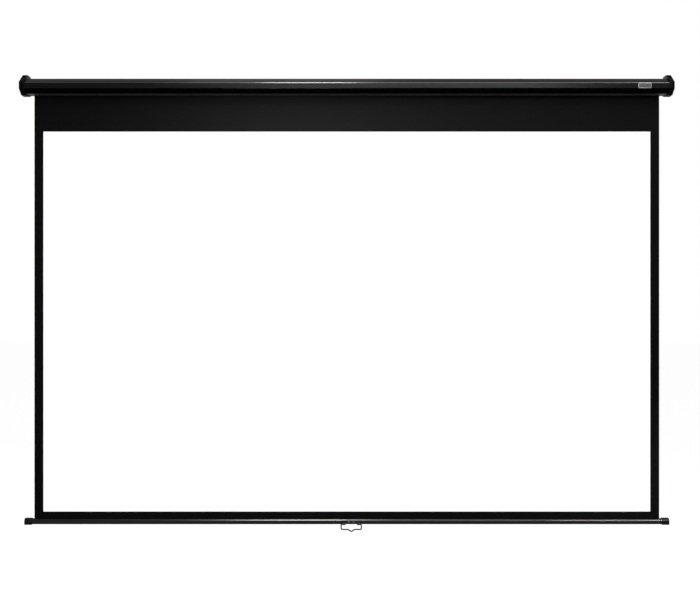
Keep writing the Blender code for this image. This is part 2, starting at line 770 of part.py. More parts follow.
def spring_plug(roller, plastic, steel):
    """The plug at the spring end, with the pins that the pawls swing on."""
    made = plug("spring_end_plug", -1, SPRING_PLUG_X, PLUG_BODY, SPINDLE_BORE, roller, plastic)
    pawl_outer = SPRING_PLUG_X + GAP + PAWL_THICKNESS
    for name, pivot, _ in pawl_pivots():
        foot_x = -(SPRING_PLUG_X - PAWL_PIN_SEAT)
        neck_x = -(pawl_outer + GAP)
        head_x = neck_x - PAWL_PIN_HEAD
        pin = turned(
            [
                (foot_x, 0.0),
                (foot_x, PAWL_PIN_RADIUS),
                (neck_x, PAWL_PIN_RADIUS),
                (neck_x, PAWL_PIN_HEAD_RADIUS),
                (head_x, PAWL_PIN_HEAD_RADIUS),
                (head_x, 0.0),
            ],
            12,
            hollow=False,
        )
        piece(f"pawl_pin_{name}", pin, steel, roller, (0.0, pivot.x, pivot.y))
        hole_end = foot_x + GAP
        hole = rod(PAWL_PIN_RADIUS + GAP, -(SPRING_PLUG_X + GAP), hole_end, 12)
        where = (0.0, pivot.x, pivot.y)
        modify(made, f"cut_pin_hole_{name}", hole, "DIFFERENCE", roller, where)


def dropped_pawl_outline():
    """A pawl with its nose down in the notch, about the roller's axis."""
    pivot = polar(PAWL_PIVOT_RADIUS, PAWL_PIVOT_DEG)
    nose_back_deg = DROPPED_TIP_DEG - PAWL_NOSE_DEG
    points = [polar(DROPPED_TIP_RADIUS + PAWL_NOSE_HEIGHT, DROPPED_TIP_DEG)]
    points.append(polar(DROPPED_TIP_RADIUS, DROPPED_TIP_DEG))
    heel_deg = PAWL_PIVOT_DEG + PAWL_NOSE_DEG
    underside_steps = 4
    for step in range(underside_steps + 1):
        angle = nose_back_deg + (heel_deg - nose_back_deg) * step / underside_steps
        points.append(polar(ratchet_radius(angle) + PAWL_UNDERCUT, angle))
    points += arc(pivot, PAWL_BOSS_RADIUS, PAWL_PIVOT_DEG - 150.0, PAWL_PIVOT_DEG + 60.0, 10)
    return points


def pawls(roller, finish):
    """Two pawls, each held just clear of the ratchet, as when the roller turns fast."""
    lift = Matrix.Rotation(math.radians(PAWL_DROP_DEG), 2)
    for name, pivot, turn_deg in pawl_pivots():
        carrier = axis_empty(f"pawl_axis_{name}", (0.0, pivot.x, pivot.y), roller)
        half_turn = Matrix.Rotation(math.radians(turn_deg), 2)
        centre = polar(PAWL_PIVOT_RADIUS, PAWL_PIVOT_DEG)
        outline = [half_turn @ (lift.transposed() @ (point - centre)) for point in dropped_pawl_outline()]
        near = -(SPRING_PLUG_X + GAP)
        far = near - PAWL_THICKNESS
        pawl = piece(f"pawl_{name}", prism(outline, near, far), finish, carrier)
        bore = rod(PAWL_PIN_RADIUS + GAP, near + GAP, far - GAP, 12)
        modify(pawl, f"cut_pawl_bore_{name}", bore, "DIFFERENCE", carrier)


def spring_points():
    """Centre line of the spring about the roller's axis: a straight tail, the coil, and a tail again."""
    full_lean = math.atan2(2 * math.pi * SPRING_COIL_RADIUS, SPRING_PITCH)
    start_x = -COLLAR_X + COLLAR_LENGTH
    tail = [(start_x - SPRING_TAIL, 0.0), (start_x + GAP, 0.0)]
    bend_steps = 6
    bend = []
    x = tail[-1][0]
    turn = 0.0
    for step in range(bend_steps):
        lean = full_lean * (step + 0.5) / bend_steps
        x += math.cos(lean) * SPRING_BEND / bend_steps
        turn += math.sin(lean) * SPRING_BEND / bend_steps / SPRING_COIL_RADIUS
        bend.append((x, turn))
    coil_steps = SPRING_TURNS * SPRING_POINTS_PER_TURN
    coil_start = bend[-1]
    coil = []
    for step in range(1, coil_steps):
        share = step / SPRING_POINTS_PER_TURN
        coil.append((coil_start[0] + share * SPRING_PITCH, coil_start[1] + share * 2 * math.pi))
    coil_end_x = coil_start[0] + SPRING_TURNS * SPRING_PITCH
    coil_end_turn = coil_start[1] + SPRING_TURNS * 2 * math.pi
    first_half = tail + bend + coil
    mirror = [(coil_end_x + coil_start[0] - px, coil_end_turn + coil_start[1] - pt) for px, pt in tail + bend]
    path = first_half + mirror[::-1]
    return [
        Vector((px, SPRING_COIL_RADIUS * math.cos(pt), SPRING_COIL_RADIUS * math.sin(pt))) for px, pt in path
    ]


def least_gap(points, radius, skip):
    """The least distance between turns of a wire, from surface to surface."""
    least = math.inf
    for i, point in enumerate(points):
        for other in points[i + skip:i + 3 * skip]:
            least = min(least, (point - other).length - 2 * radius)
    return least


def counter_spring(points, roller, finish):
    """The torsion spring that winds the sheet up, its tails in the collar and the drive plug."""
    tube_piece("counter_spring", points, SPRING_WIRE_RADIUS, finish, 1, roller)
    gap = least_gap(points, SPRING_WIRE_RADIUS, SPRING_POINTS_PER_TURN - 2)
    print(f"counter_spring: least gap between turns {gap * 1000:.2f} mm")


def tail_socket(x_start, x_end):
    """A cutter for the hole that a spring's tail sits in, on the axis of the tail."""
    return rod(SPRING_WIRE_RADIUS + GAP, x_start, x_end, 8)


def drive_plug(roller, finish, spring_end):
    """The plug, fixed in the tube, that the spring's moving end turns."""
    face_x = spring_end.x - SPRING_TAIL
    body = DRIVE_PLUG_LENGTH - PLUG_FLANGE
    made = plug("drive_plug", -1, -face_x, body, SPINDLE_BORE, roller, finish)
    socket = tail_socket(face_x - GAP, spring_end.x + GAP)
    modify(made, "cut_drive_socket", socket, "DIFFERENCE", roller, (0.0, spring_end.y, spring_end.z))


def wound_sheet(roller, finish):
    """The turns of sheet that stay on the tube, a spiral that ends where the sheet hangs down."""
    steps = round(WRAPS * WRAP_STEPS)
    half = SHEET_THICKNESS / 2
    rings = []
    for step in range(steps + 1):
        share = step / steps
        angle = 360.0 * WRAPS * share
        radius = WRAP_END_RADIUS - WRAPS * WRAP_PITCH * share
        inner = polar(radius - half, angle)
        outer = polar(radius + half, angle)
        rings.append(
            [
                Vector((-SHEET_HALF, inner.x, inner.y)),
                Vector((-SHEET_HALF, outer.x, outer.y)),
                Vector((SHEET_HALF, outer.x, outer.y)),
                Vector((SHEET_HALF, inner.x, inner.y)),
            ]
        )
    piece("wound_sheet", lofted(rings), finish, roller, smooth_deg=60.0)


def idle_end(roller, plastic, steel):
    """The plug and pin at the right end."""
    face_x = TUBE_HALF - IDLE_PLUG_RECESS
    plug("idle_end_plug", 1, face_x, PLUG_BODY, IDLE_PIN_RADIUS + GAP, roller, plastic)
    inner_x = face_x - PLUG_FLANGE - PLUG_BODY
    outer_x = BRACKET_OUTER_X - GAP
    chamfer = IDLE_PIN_RADIUS / 5
    pin = turned(
        [
            (inner_x, 0.0),
            (inner_x, IDLE_PIN_RADIUS),
            (outer_x - chamfer, IDLE_PIN_RADIUS),
            (outer_x, IDLE_PIN_RADIUS - chamfer),
            (outer_x, 0.0),
        ],
        20,
        hollow=False,
    )
    piece("idle_pin", pin, steel, roller)


def idle_bush(roller_at, finish):
    """The flanged bush in the right bracket that the idle pin turns in."""
    flange_end = BRACKET_INNER_X - BRACKET_HUB_REACH - GAP
    bore = IDLE_PIN_RADIUS + GAP
    profile = [
        (BRACKET_OUTER_X - GAP, bore),
        (BRACKET_OUTER_X - GAP, BUSH_RADIUS),
        (flange_end, BUSH_RADIUS),
        (flange_end, BUSH_FLANGE_RADIUS),
        (flange_end - BUSH_FLANGE, BUSH_FLANGE_RADIUS),
        (flange_end - BUSH_FLANGE, bore),
    ]
    piece("idle_bush", turned(profile, 24), finish, at=roller_at)


# Hanging sheet

def hanging_sheet(black, white):
    """The black carrier sheet from roller to hem rod, and the white viewing layer on its front."""
    half = SHEET_THICKNESS / 2
    top = ROLLER_Z - GAP
    bottom = HEM_ROD_Z + HEM_ROD_RADIUS + GAP
    section = [
        Vector((SHEET_Y - half, bottom)),
        Vector((SHEET_Y + half, bottom)),
        Vector((SHEET_Y + half, top)),
        Vector((SHEET_Y - half, top)),
    ]
    piece("carrier_sheet", prism(section, -SHEET_HALF, SHEET_HALF), black)
    back = SHEET_Y - half - GAP
    front = back - COATING_THICKNESS
    view = [
        Vector((front, VIEW_TOP_Z - VIEW_HEIGHT)),
        Vector((back, VIEW_TOP_Z - VIEW_HEIGHT)),
        Vector((back, VIEW_TOP_Z)),
        Vector((front, VIEW_TOP_Z)),
    ]
    piece("viewing_surface", prism(view, -VIEW_WIDTH / 2, VIEW_WIDTH / 2), white)


# Weight bar

BAR_RADII = (BAR_FRONT_CORNER, BAR_REAR_CORNER, BAR_REAR_CORNER, BAR_FRONT_TOP_CORNER)


def bar_corners():
    """Outer corners of the weight bar's section, from its front lower edge round the back."""
    front = SHEET_Y - BAR_DEPTH / 2
    rear = SHEET_Y + BAR_DEPTH / 2
    bottom = BAR_TOP_Z - BAR_HEIGHT
    return [
        Vector((front, bottom)), Vector((rear, bottom)), Vector((rear, BAR_TOP_Z)), Vector((front, BAR_TOP_Z))
    ]


def bar_outline():
    """The bar's outer side with the keyhole groove let into its top."""
    neck_deg = math.degrees(math.acos(HEM_NECK_HALF / HEM_GROOVE_RADIUS))
    groove = [Vector((SHEET_Y + HEM_NECK_HALF, BAR_TOP_Z))]
    groove += arc((SHEET_Y, HEM_ROD_Z), HEM_GROOVE_RADIUS, neck_deg, -180.0 - neck_deg, 14)
    groove.append(Vector((SHEET_Y - HEM_NECK_HALF, BAR_TOP_Z)))
    outside = rounded(bar_corners(), BAR_RADII, steps=4, closed=True)
    front_top = len(outside) * 3 // 4
    return outside[:front_top] + groove + outside[front_top:]


def weight_bar(finish):
    """The bar's hollow section."""
    bar = piece("weight_bar_section", prism(bar_outline(), -BAR_HALF, BAR_HALF), finish)
    corners = offset_path(bar_corners(), BAR_WALL, closed=True)
    chamber_top = HEM_ROD_Z - HEM_GROOVE_RADIUS - BAR_WALL
    corners[2].y = chamber_top
    corners[3].y = chamber_top
    radii = [max(radius - BAR_WALL, 0.0) for radius in BAR_RADII[:3]] + [0.0]
    past = 0.005
    chamber = prism(rounded(corners, radii, closed=True), -BAR_HALF - past, BAR_HALF + past)
    modify(bar, "cut_bar_chamber", chamber, "DIFFERENCE")
    for number, x in enumerate(handle_screw_places(), 1):
        reach = BAR_WALL + BAR_DEPTH / 4
        hole = rod(HANDLE_SCREW_RADIUS + GAP, -past, reach, 12)
        where = (x, BAR_FRONT_Y, HANDLE_SCREW_Z)
        modify(bar, f"cut_bar_screw_{number}", hole, "DIFFERENCE", at=where, turn_deg=90.0)


def hem_rod(finish):
    """The rod in the sheet's hem, slid into the bar's groove."""
    half = SHEET_HALF - HEM_ROD_INSET
    piece("hem_rod", rod(HEM_ROD_RADIUS, -half, half, 12), finish, at=(0.0, SHEET_Y, HEM_ROD_Z))


def bar_cap(side, side_name, finish):
    """A moulded cap slipped over the bar's end."""
    corners = offset_path(bar_corners(), -(BAR_CAP_WALL + GAP), closed=True)
    radii = [radius + BAR_CAP_WALL for radius in BAR_RADII]
    outline = rounded(corners, radii, steps=4, closed=True)
    rim_x = side * BAR_CAP_RIM_X
    end_x = side * BAR_CAP_END_X
    edge = BAR_CAP_EDGE
    rings = [
        ring(offset_path(outline, edge / 3, closed=True), rim_x),
        ring(outline, rim_x + side * edge / 3),
        ring(outline, end_x - side * edge),
        ring(offset_path(outline, edge * 0.3, closed=True), end_x - side * edge * 0.3),
        ring(offset_path(outline, edge, closed=True), end_x),
    ]
    cap = piece(f"bar_cap_{side_name}", lofted(rings), finish)
    grown = offset_path(bar_corners(), -GAP, closed=True)
    cavity_outline = rounded(grown, [radius + GAP for radius in BAR_RADII], steps=4, closed=True)
    past = 0.005
    cavity = prism(cavity_outline, rim_x - side * past, end_x - side * BAR_CAP_END)
    modify(cap, f"cut_bar_cap_cavity_{side_name}", cavity, "DIFFERENCE")


# Handle

HANDLE_SCREW_ABOVE_EDGE = HANDLE_PLATE_HEIGHT / 2 - HANDLE_PLATE_THICKNESS
HANDLE_SCREW_Z = PLATE_BOTTOM_Z + HANDLE_SCREW_ABOVE_EDGE


def handle_screw_places():
    """Places of the two handle screws along X."""
    return (HANDLE_X - HANDLE_LOBE_X, HANDLE_X + HANDLE_LOBE_X)


def plate_outline():
    """The handle plate from the middle of its lower edge: a strip with rounded ends and two round lobes."""
    half = HANDLE_PLATE_WIDTH / 2
    corner = HANDLE_PLATE_HEIGHT / 3
    dip = math.degrees(math.acos(HANDLE_SCREW_ABOVE_EDGE / HANDLE_LOBE_RADIUS))
    outline = [Vector((half, 0.0)), Vector((half, HANDLE_PLATE_HEIGHT))]
    outline += [Vector((-half, HANDLE_PLATE_HEIGHT)), Vector((-half, 0.0))]
    outline = rounded(outline, (corner,) * 4, closed=True)
    for x in (-HANDLE_LOBE_X, HANDLE_LOBE_X):
        outline += arc((x, HANDLE_SCREW_ABOVE_EDGE), HANDLE_LOBE_RADIUS, 270.0 - dip, 270.0 + dip, 6)
    return outline


def handle_bracket(bar, finish):
    """The pressed plate on the bar's front, with two rolled knuckles that the bail hooks into."""
    bm = bmesh.new()
    face = bm.faces.new([bm.verts.new((x, 0.0, z)) for x, z in plate_outline()])
    drawn = bmesh.ops.extrude_face_region(bm, geom=[face])
    moved = [item for item in drawn["geom"] if isinstance(item, bmesh.types.BMVert)]
    bmesh.ops.translate(bm, verts=moved, vec=(0.0, -HANDLE_PLATE_THICKNESS, 0.0))
    bmesh.ops.recalc_face_normals(bm, faces=bm.faces)
    bracket = piece("handle_bracket", bm, finish, at=(HANDLE_X, PLATE_BACK_Y, PLATE_BOTTOM_Z))

    pivot = Vector((BAIL_PIVOT_Y - PLATE_BACK_Y, BAIL_PIVOT_Z - PLATE_BOTTOM_Z))
    root_y = -HANDLE_PLATE_THICKNESS / 2
    half = HANDLE_EAR_WIDTH / 2
    for name, side in (("left", -1), ("right", 1)):
        middle = side * HANDLE_EAR_X
        outline = [Vector((root_y, GAP)), Vector((root_y, HANDLE_EAR_ROOT))]
        outline += arc(pivot, HANDLE_EAR_RADIUS, 90.0, 330.0, 12)
        ear = prism(outline, middle - half, middle + half)
        modify(bracket, f"join_ear_{name}", ear, "UNION", bracket)
    for name, side in (("left", -1), ("right", 1)):
        hole = rod(BAIL_WIRE_RADIUS + GAP, -HANDLE_EAR_WIDTH, HANDLE_EAR_WIDTH, 16)
        where = (side * HANDLE_EAR_X, pivot.x, pivot.y)
        modify(bracket, f"cut_ear_{name}", hole, "DIFFERENCE", bracket, at=where)
    for name, side in (("left", -1), ("right", 1)):
        reach = 2 * HANDLE_PLATE_THICKNESS
        hole = rod(HANDLE_SCREW_RADIUS + GAP, -reach, reach, 12)
        where = (side * HANDLE_LOBE_X, root_y, HANDLE_SCREW_ABOVE_EDGE)
        modify(bracket, f"cut_plate_screw_{name}", hole, "DIFFERENCE", bracket, at=where, turn_deg=90.0)


def handle_screws(finish):
    """Two round-headed screws through the plate into the bar."""
    for name, x in zip(("left", "right"), handle_screw_places()):
        head = HANDLE_SCREW_HEAD_RADIUS
        height = HANDLE_SCREW_HEAD_HEIGHT
        profile = [(-height, 0.0), (-height, head * 0.45), (-height * 0.75, head * 0.8), (-height * 0.3, head)]
        profile += [(0.0, head), (0.0, HANDLE_SCREW_RADIUS)]
        profile += [(HANDLE_SCREW_LENGTH, HANDLE_SCREW_RADIUS), (HANDLE_SCREW_LENGTH, 0.0)]
        screw = piece(
            f"handle_screw_{name}",
            turned(profile, 16, hollow=False),
            finish,
            at=(x, PLATE_FRONT_Y - GAP, HANDLE_SCREW_Z),
        )
        screw.rotation_euler = (0.0, 0.0, math.radians(90.0))


def bail(pivot, finish):
    """The wire bail: ends hooked inwards through the ears, square shoulders and a finger point below."""
    end = HANDLE_EAR_X - BAIL_END_REACH
    half = [
        Vector((-end, 0.0)),
        Vector((-BAIL_HALF_WIDTH, 0.0)),
        Vector((-BAIL_HALF_WIDTH, -BAIL_DROP)),
        Vector((-BAIL_TIP_HALF_WIDTH, -BAIL_DROP)),
        Vector((0.0, -BAIL_TIP_DROP)),
    ]
    corners = half + [Vector((-point.x, point.y)) for point in half[-2::-1]]
    radii = [0.0] + [BAIL_CORNER] * 7 + [0.0]
    points = rounded(corners, radii, steps=4)
    path = [Vector((x, 0.0, z)) for x, z in points]
    tube_piece("bail", path, BAIL_WIRE_RADIUS, finish, 2, pivot)


def main():
    for obj in list(bpy.data.objects):
        bpy.data.objects.remove(obj, do_unlink=True)

    case_paint = material("case_black_paint", (0.012, 0.012, 0.013), 0.32)
    cap_plastic = material("cap_black_plastic", (0.014, 0.014, 0.015), 0.38)
    bar_paint = material("bar_black_paint", (0.012, 0.012, 0.013), 0.28)
    bar_plastic = material("bar_cap_black_plastic", (0.014, 0.014, 0.015), 0.42)
    black_sheet = material("black_sheet", (0.016, 0.016, 0.017), 0.75)
    white_sheet = material("matte_white_surface", (0.88, 0.88, 0.88), 0.90)
    roller_steel = material("roller_zinc_steel", (0.62, 0.63, 0.65), 0.35, 1.0)
    bracket_steel = material("bracket_zinc_steel", (0.55, 0.56, 0.58), 0.40, 1.0)
    spring_steel = material("spring_steel", (0.30, 0.30, 0.31), 0.35, 1.0)
    plug_nylon = material("plug_nylon", (0.70, 0.70, 0.66), 0.50)
    screw_steel = material("black_screw_steel", (0.03, 0.03, 0.03), 0.35, 0.6)
    handle_steel = material("handle_black_steel", (0.03, 0.03, 0.032), 0.35, 0.5)
    rod_plastic = material("hem_rod_plastic", (0.60, 0.60, 0.58), 0.60)

    roller_at = (0.0, ROLLER_Y, ROLLER_Z)
    roller = axis_empty("roller_axis", roller_at)
    bail_pivot = axis_empty("bail_axis", (HANDLE_X, BAIL_PIVOT_Y, BAIL_PIVOT_Z))

    piece("case_shell", prism(case_outline(), -CASE_HALF, CASE_HALF), case_paint, smooth_deg=25.0)
    for side, name in ((-1, "left"), (1, "right")):
        end_cap(side, name, cap_plastic)
        cap_screws(side, name, screw_steel)
        roller_bracket(side, name, bracket_steel)
        bar_cap(side, name, bar_plastic)

    spring = spring_points()
    spindle(roller_at, spring[-1], bracket_steel)
    ratchet(roller_at, bracket_steel)
    spring_collar(roller_at, plug_nylon, spring[0])
    idle_bush(roller_at, plug_nylon)

    roller_tube(roller, roller_steel)
    spring_plug(roller, plug_nylon, bracket_steel)
    pawls(roller, bracket_steel)
    counter_spring(spring, roller, spring_steel)
    drive_plug(roller, plug_nylon, spring[-1])
    idle_end(roller, plug_nylon, bracket_steel)
    wound_sheet(roller, black_sheet)

    hanging_sheet(black_sheet, white_sheet)
    weight_bar(bar_paint)
    hem_rod(rod_plastic)
    handle_bracket(None, handle_steel)
    handle_screws(screw_steel)
    bail(bail_pivot, handle_steel)


main()
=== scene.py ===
"""A wall-hung pull-down projector screen, fully drawn: case, coated sheet, weight bar and pull handle.

Metres, +Z up, the front faces -Y and the wall is at Y = 0.
"""

import json
import math

import bmesh
import bpy
from bpy.props import FloatProperty, FloatVectorProperty, IntProperty, PointerProperty
from bpy.types import Operator, Panel, PropertyGroup
from mathutils import Matrix, Vector


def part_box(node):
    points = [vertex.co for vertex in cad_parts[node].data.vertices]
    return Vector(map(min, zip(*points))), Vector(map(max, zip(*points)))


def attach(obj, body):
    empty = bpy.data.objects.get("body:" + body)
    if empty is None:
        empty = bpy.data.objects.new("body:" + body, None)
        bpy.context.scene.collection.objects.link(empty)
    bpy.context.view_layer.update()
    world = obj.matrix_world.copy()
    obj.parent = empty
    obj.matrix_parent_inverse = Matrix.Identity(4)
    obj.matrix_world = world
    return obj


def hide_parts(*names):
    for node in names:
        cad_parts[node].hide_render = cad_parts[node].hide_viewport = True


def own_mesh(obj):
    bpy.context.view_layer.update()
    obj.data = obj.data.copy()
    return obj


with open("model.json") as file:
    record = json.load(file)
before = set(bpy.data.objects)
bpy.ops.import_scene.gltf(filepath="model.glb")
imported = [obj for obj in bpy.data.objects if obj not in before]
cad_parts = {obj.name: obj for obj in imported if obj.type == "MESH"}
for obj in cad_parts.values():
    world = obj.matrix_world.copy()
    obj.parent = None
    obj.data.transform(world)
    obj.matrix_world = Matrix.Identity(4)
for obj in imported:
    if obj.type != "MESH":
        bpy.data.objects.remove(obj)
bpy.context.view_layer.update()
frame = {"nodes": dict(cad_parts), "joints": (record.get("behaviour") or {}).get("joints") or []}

bl_info = {
    "name": "Pull-down projector screen",
    "version": (1, 0, 0),
    "blender": (4, 5, 0),
    "location": "3D View > Sidebar > Projector Screen",
    "description": "Dresses a pull-down projector screen piece by piece",
    "category": "Object",
}

# Places taken from the model
CASE_LOW, CASE_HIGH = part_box("case_shell")
CARRIER_LOW, CARRIER_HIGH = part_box("carrier_sheet")
BAR_LOW, BAR_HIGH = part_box("weight_bar_section")
ROD_LOW, ROD_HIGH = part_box("hem_rod")
TUBE_LOW, TUBE_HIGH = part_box("roller_tube")

SHEET_Y = (CARRIER_LOW.y + CARRIER_HIGH.y) / 2
ROLLER = (TUBE_LOW + TUBE_HIGH) / 2
ROD = (ROD_LOW + ROD_HIGH) / 2
ROD_RADIUS = (ROD_HIGH.z - ROD_LOW.z) / 2
JOINTS = {joint["name"]: joint for joint in frame["joints"]}

SIDES = ((-1, "left"), (1, "right"))
VERT, EDGE, FACE = bmesh.types.BMVert, bmesh.types.BMEdge, bmesh.types.BMFace

# Room between pieces that fit together, how far a cutting tool reaches past its piece, and the distance
# below which two places are one
GAP = 0.0003
PAST = 0.005
NEAR = 1e-6


def setting(kind, **limits):
    """Gives a function that makes one kind of setting from its name, default and description."""
    def made(name, default, description):
        return kind(name=name, description=description, default=default, **limits)
    return made


# Lengths can't be below 0. Levels are heights or places, which can
length = setting(FloatProperty, min=0.0, unit="LENGTH", precision=5)
level = setting(FloatProperty, unit="LENGTH", precision=5)
share = setting(FloatProperty, min=0.0, max=1.0, subtype="FACTOR", precision=4)
colour = setting(FloatVectorProperty, size=3, min=0.0, max=1.0, subtype="COLOR")
power = setting(FloatProperty, min=0.0, unit="POWER")
count = setting(IntProperty, min=1)


# Settings

class CaseSettings(PropertyGroup):
    """Sizes and paint of the case."""
    wall: length("Wall", 0.0013, "Thickness of the aluminium wall")
    top_depth: length("Top depth", 0.045, "Depth of the flat top, from the wall")
    front_top: level("Front top", 0.009, "Height where the front face meets the upper slope")
    front_bottom: level("Front bottom", -0.010, "Height where the front face meets the lower slope")
    underside_depth: length("Underside depth", 0.050, "Depth where the lower slope meets the underside")
    rear_flange: level("Rear flange", -0.021, "Height of the flange behind the slot")
    slot_front: length("Slot front", 0.023, "Depth of the slot's front edge")
    slot_rear: length("Slot rear", 0.0095, "Depth of the slot's rear edge")
    lip: length("Slot lip", 0.004, "Height of the lips beside the slot")
    back_corner: length("Back corner", 0.0016, "Radius of the bends at the back and the slot")
    front_corner: length("Front corner", 0.0030, "Radius of the bends at the front")
    channel_radius: length("Channel radius", 0.0030, "Outer radius of the screw channels inside")
    channel_wall: length("Channel wall", 0.0012, "Wall of the screw channels inside")
    paint: colour("Paint", (0.0010, 0.0010, 0.0011), "Black satin paint")
    paint_light: colour("Paint, lighter", (0.0020, 0.0020, 0.0022), "Lighter grain in the paint")
    sheen: share("Sheen", 0.045, "How strongly the paint reflects")
    # Painted shade: the lower slope's darker black stands in for the shade that falls on the downward-facing
    # slope
    shade: colour("Shade", (0.0005, 0.0005, 0.0005), "Dull paint on the lower slope")
    # Painted reflection: the underside's pale grey stands in for the light that it mirrors at a grazing
    # angle, rather than dust
    underside: colour("Underside", (0.020, 0.020, 0.021), "Dusty paint on the underside")
    bend_sheen: share("Bend sheen", 0.35, "How strongly the polished front bend reflects")
    roughness: share("Roughness", 0.27, "Roughness of the paint")
    bend_roughness: share("Bend roughness", 0.16, "Roughness of the polished front bend")


class BadgePlateSettings(PropertyGroup):
    """Sizes and finish of the bare plate on the case's front."""
    left: level("Left edge", 0.956, "Place of its left edge along the case")
    right: level("Right edge", 0.9987, "Place of its right edge along the case")
    bottom: level("Bottom edge", -0.0093, "Height of its lower edge")
    top: level("Top edge", 0.0083, "Height of its upper edge")
    seat: length("Seat", 0.0001, "How deep its back sits in the case")
    rise: length("Rise", 0.0007, "How far it stands out of the case")
    corner: length("Corner", 0.0020, "Radius of its corners")
    rim: length("Rim", 0.0011, "Width of its pale rim")
    field: colour("Field", (0.019, 0.019, 0.020), "Dark satin field")
    edge: colour("Rim colour", (0.18, 0.18, 0.185), "Pale rim")


class CapSettings(PropertyGroup):
    """Sizes and plastic of the end caps."""
    end_wall: length("End wall", 0.0030, "Thickness of the end wall")
    corner: length("Corner", 0.0040, "Radius of the cap's bends")
    back_corner: length("Back corner", 0.0020, "Radius of the bends at the wall")
    edge: length("Outer edge", 0.0015, "Radius of the edge round the end")
    rim_edge: length("Rim edge", 0.0006, "Radius of the edge that meets the case")
    panel_inset: length("Panel inset", 0.0026, "Width of the frame round the sunk end panel")
    panel_depth: length("Panel depth", 0.0008, "How far the end panel is sunk")
    screw_sink: length("Screw sink", 0.0001, "How deep the screws' heads lie in the end panel")
    panel_corner: length("Panel corner", 0.0012, "Radius of the sunk panel's corners")
    shoulder: length("Shoulder", 0.003, "Rise of the cap's front corner over the case's")
    front_drop: length("Front drop", 0.0008, "Drop of the front's lower corner below the case's")
    flange_drop: length("Flange drop", 0.0021, "Drop of the cap's back below the case's rear flange")
    belly_front: length("Belly front", 0.048, "Depth where the cap's lowest face ends at the front")
    belly_rear: length("Belly rear", 0.022, "Depth where the cap's lowest face starts at the back")
    ear_depth: length("Ear depth", 0.033, "Depth of the ear's flat top")
    ear_chamfer: length("Ear chamfer", 0.0035, "Chamfer between the ear's back and top")
    ear_drop: length("Ear drop", 0.0075, "Drop of the wall screw's hole below the ear's top")
    ear_hole: length("Ear hole", 0.00325, "Radius of the hole for the wall screw")
    counterbore: length("Counterbore", 0.0055, "Radius of the recess for the wall screw's head")
    ear_seat: length("Ear seat", 0.008, "Depth of the plastic under the wall screw's head")
    plastic: colour("Plastic", (0.0005, 0.0005, 0.0005), "Black moulded plastic")
    plastic_light: colour("Plastic, lighter", (0.0012, 0.0012, 0.0013), "Lighter grain in the plastic")
    sheen: share("Sheen", 0.015, "How strongly the plastic reflects")
    roughness: share("Roughness", 0.36, "Roughness of the moulded face")


class ScrewSettings(PropertyGroup):
    """Sizes and finish of the screws that show."""
    cap_shank: length("Cap screw shank", 0.0015, "Shank radius of a cap screw")
    cap_head: length("Cap screw head", 0.0033, "Head radius of a cap screw")
    head_rim: length("Head rim", 0.0002, "Width of the chamfer round a cap screw's head")
    cap_head_height: length("Cap screw head height", 0.0018, "Height of a cap screw's cone")
    handle_shank: length("Handle screw shank", 0.0012, "Shank radius of a handle screw")
    handle_head: length("Handle screw head", 0.0029, "Head radius of a handle screw")
    handle_head_height: length("Handle screw head height", 0.0016, "Height of a handle screw's dome")
    black: colour("Black oxide", (0.020, 0.020, 0.021), "Blackened steel")
    worn: colour("Worn edge", (0.16, 0.16, 0.165), "Steel where the black has worn")


class SheetSettings(PropertyGroup):
    """Sizes and surface of the coated sheet."""
    thickness: length("Thickness", 0.0004, "Thickness of the carrier sheet")
    coating: length("Coating", 0.0002, "Thickness of the white viewing layer")
    ripple: length("Ripple", 0.00012, "Height of the slow waves in the hanging sheet")
    weave: length("Weave", 0.0007, "Pitch of the weave under the coating")
    across: count("Faces across", 150, "Faces across the sheet")
    down: count("Faces down", 104, "Faces down the sheet")
    black: colour("Black", (0.0004, 0.0004, 0.0004), "Black carrier sheet")
    black_light: colour("Black, lighter", (0.0009, 0.0009, 0.0010), "Lighter threads of the carrier sheet")
    white: colour("White", (0.955, 0.955, 0.955), "Matte white viewing layer")
    white_shade: colour("White, shaded", (0.935, 0.935, 0.937), "Shade between the white layer's grains")


class BarSettings(PropertyGroup):
    """Sizes and paint of the weight bar and its caps."""
    wall: length("Wall", 0.0013, "Thickness of the bar's wall")
    front_top_corner: length("Front top corner", 0.0080, "Radius of the front upper edge")
    front_corner: length("Front lower corner", 0.0030, "Radius of the front lower edge")
    rear_corner: length("Rear corner", 0.0020, "Radius of the rear edges")
    neck: length("Groove neck", 0.0016, "Width of the groove's neck")
    cap_wall: length("Cap wall", 0.0017, "Wall of a bar cap")
    cap_end: length("Cap end", 0.0025, "Thickness of a bar cap's end")
    cap_edge: length("Cap edge", 0.0014, "Radius round a bar cap's end")
    cap_rim_edge: length("Cap rim edge", 0.0005, "Radius of a bar cap's open rim")
    paint: colour("Paint", (0.0008, 0.0008, 0.0009), "Black satin paint")
    paint_light: colour("Paint, lighter", (0.0018, 0.0018, 0.0019), "Lighter grain in the paint")
    sheen: share("Sheen", 0.13, "How strongly the paint reflects")
    roughness: share("Roughness", 0.24, "Roughness of the paint")
    plastic: colour("Cap plastic", (0.0008, 0.0008, 0.0009), "Black moulded plastic of the caps")
    plastic_light: colour("Cap plastic, lighter", (0.0018, 0.0018, 0.0019), "Lighter grain in the caps")


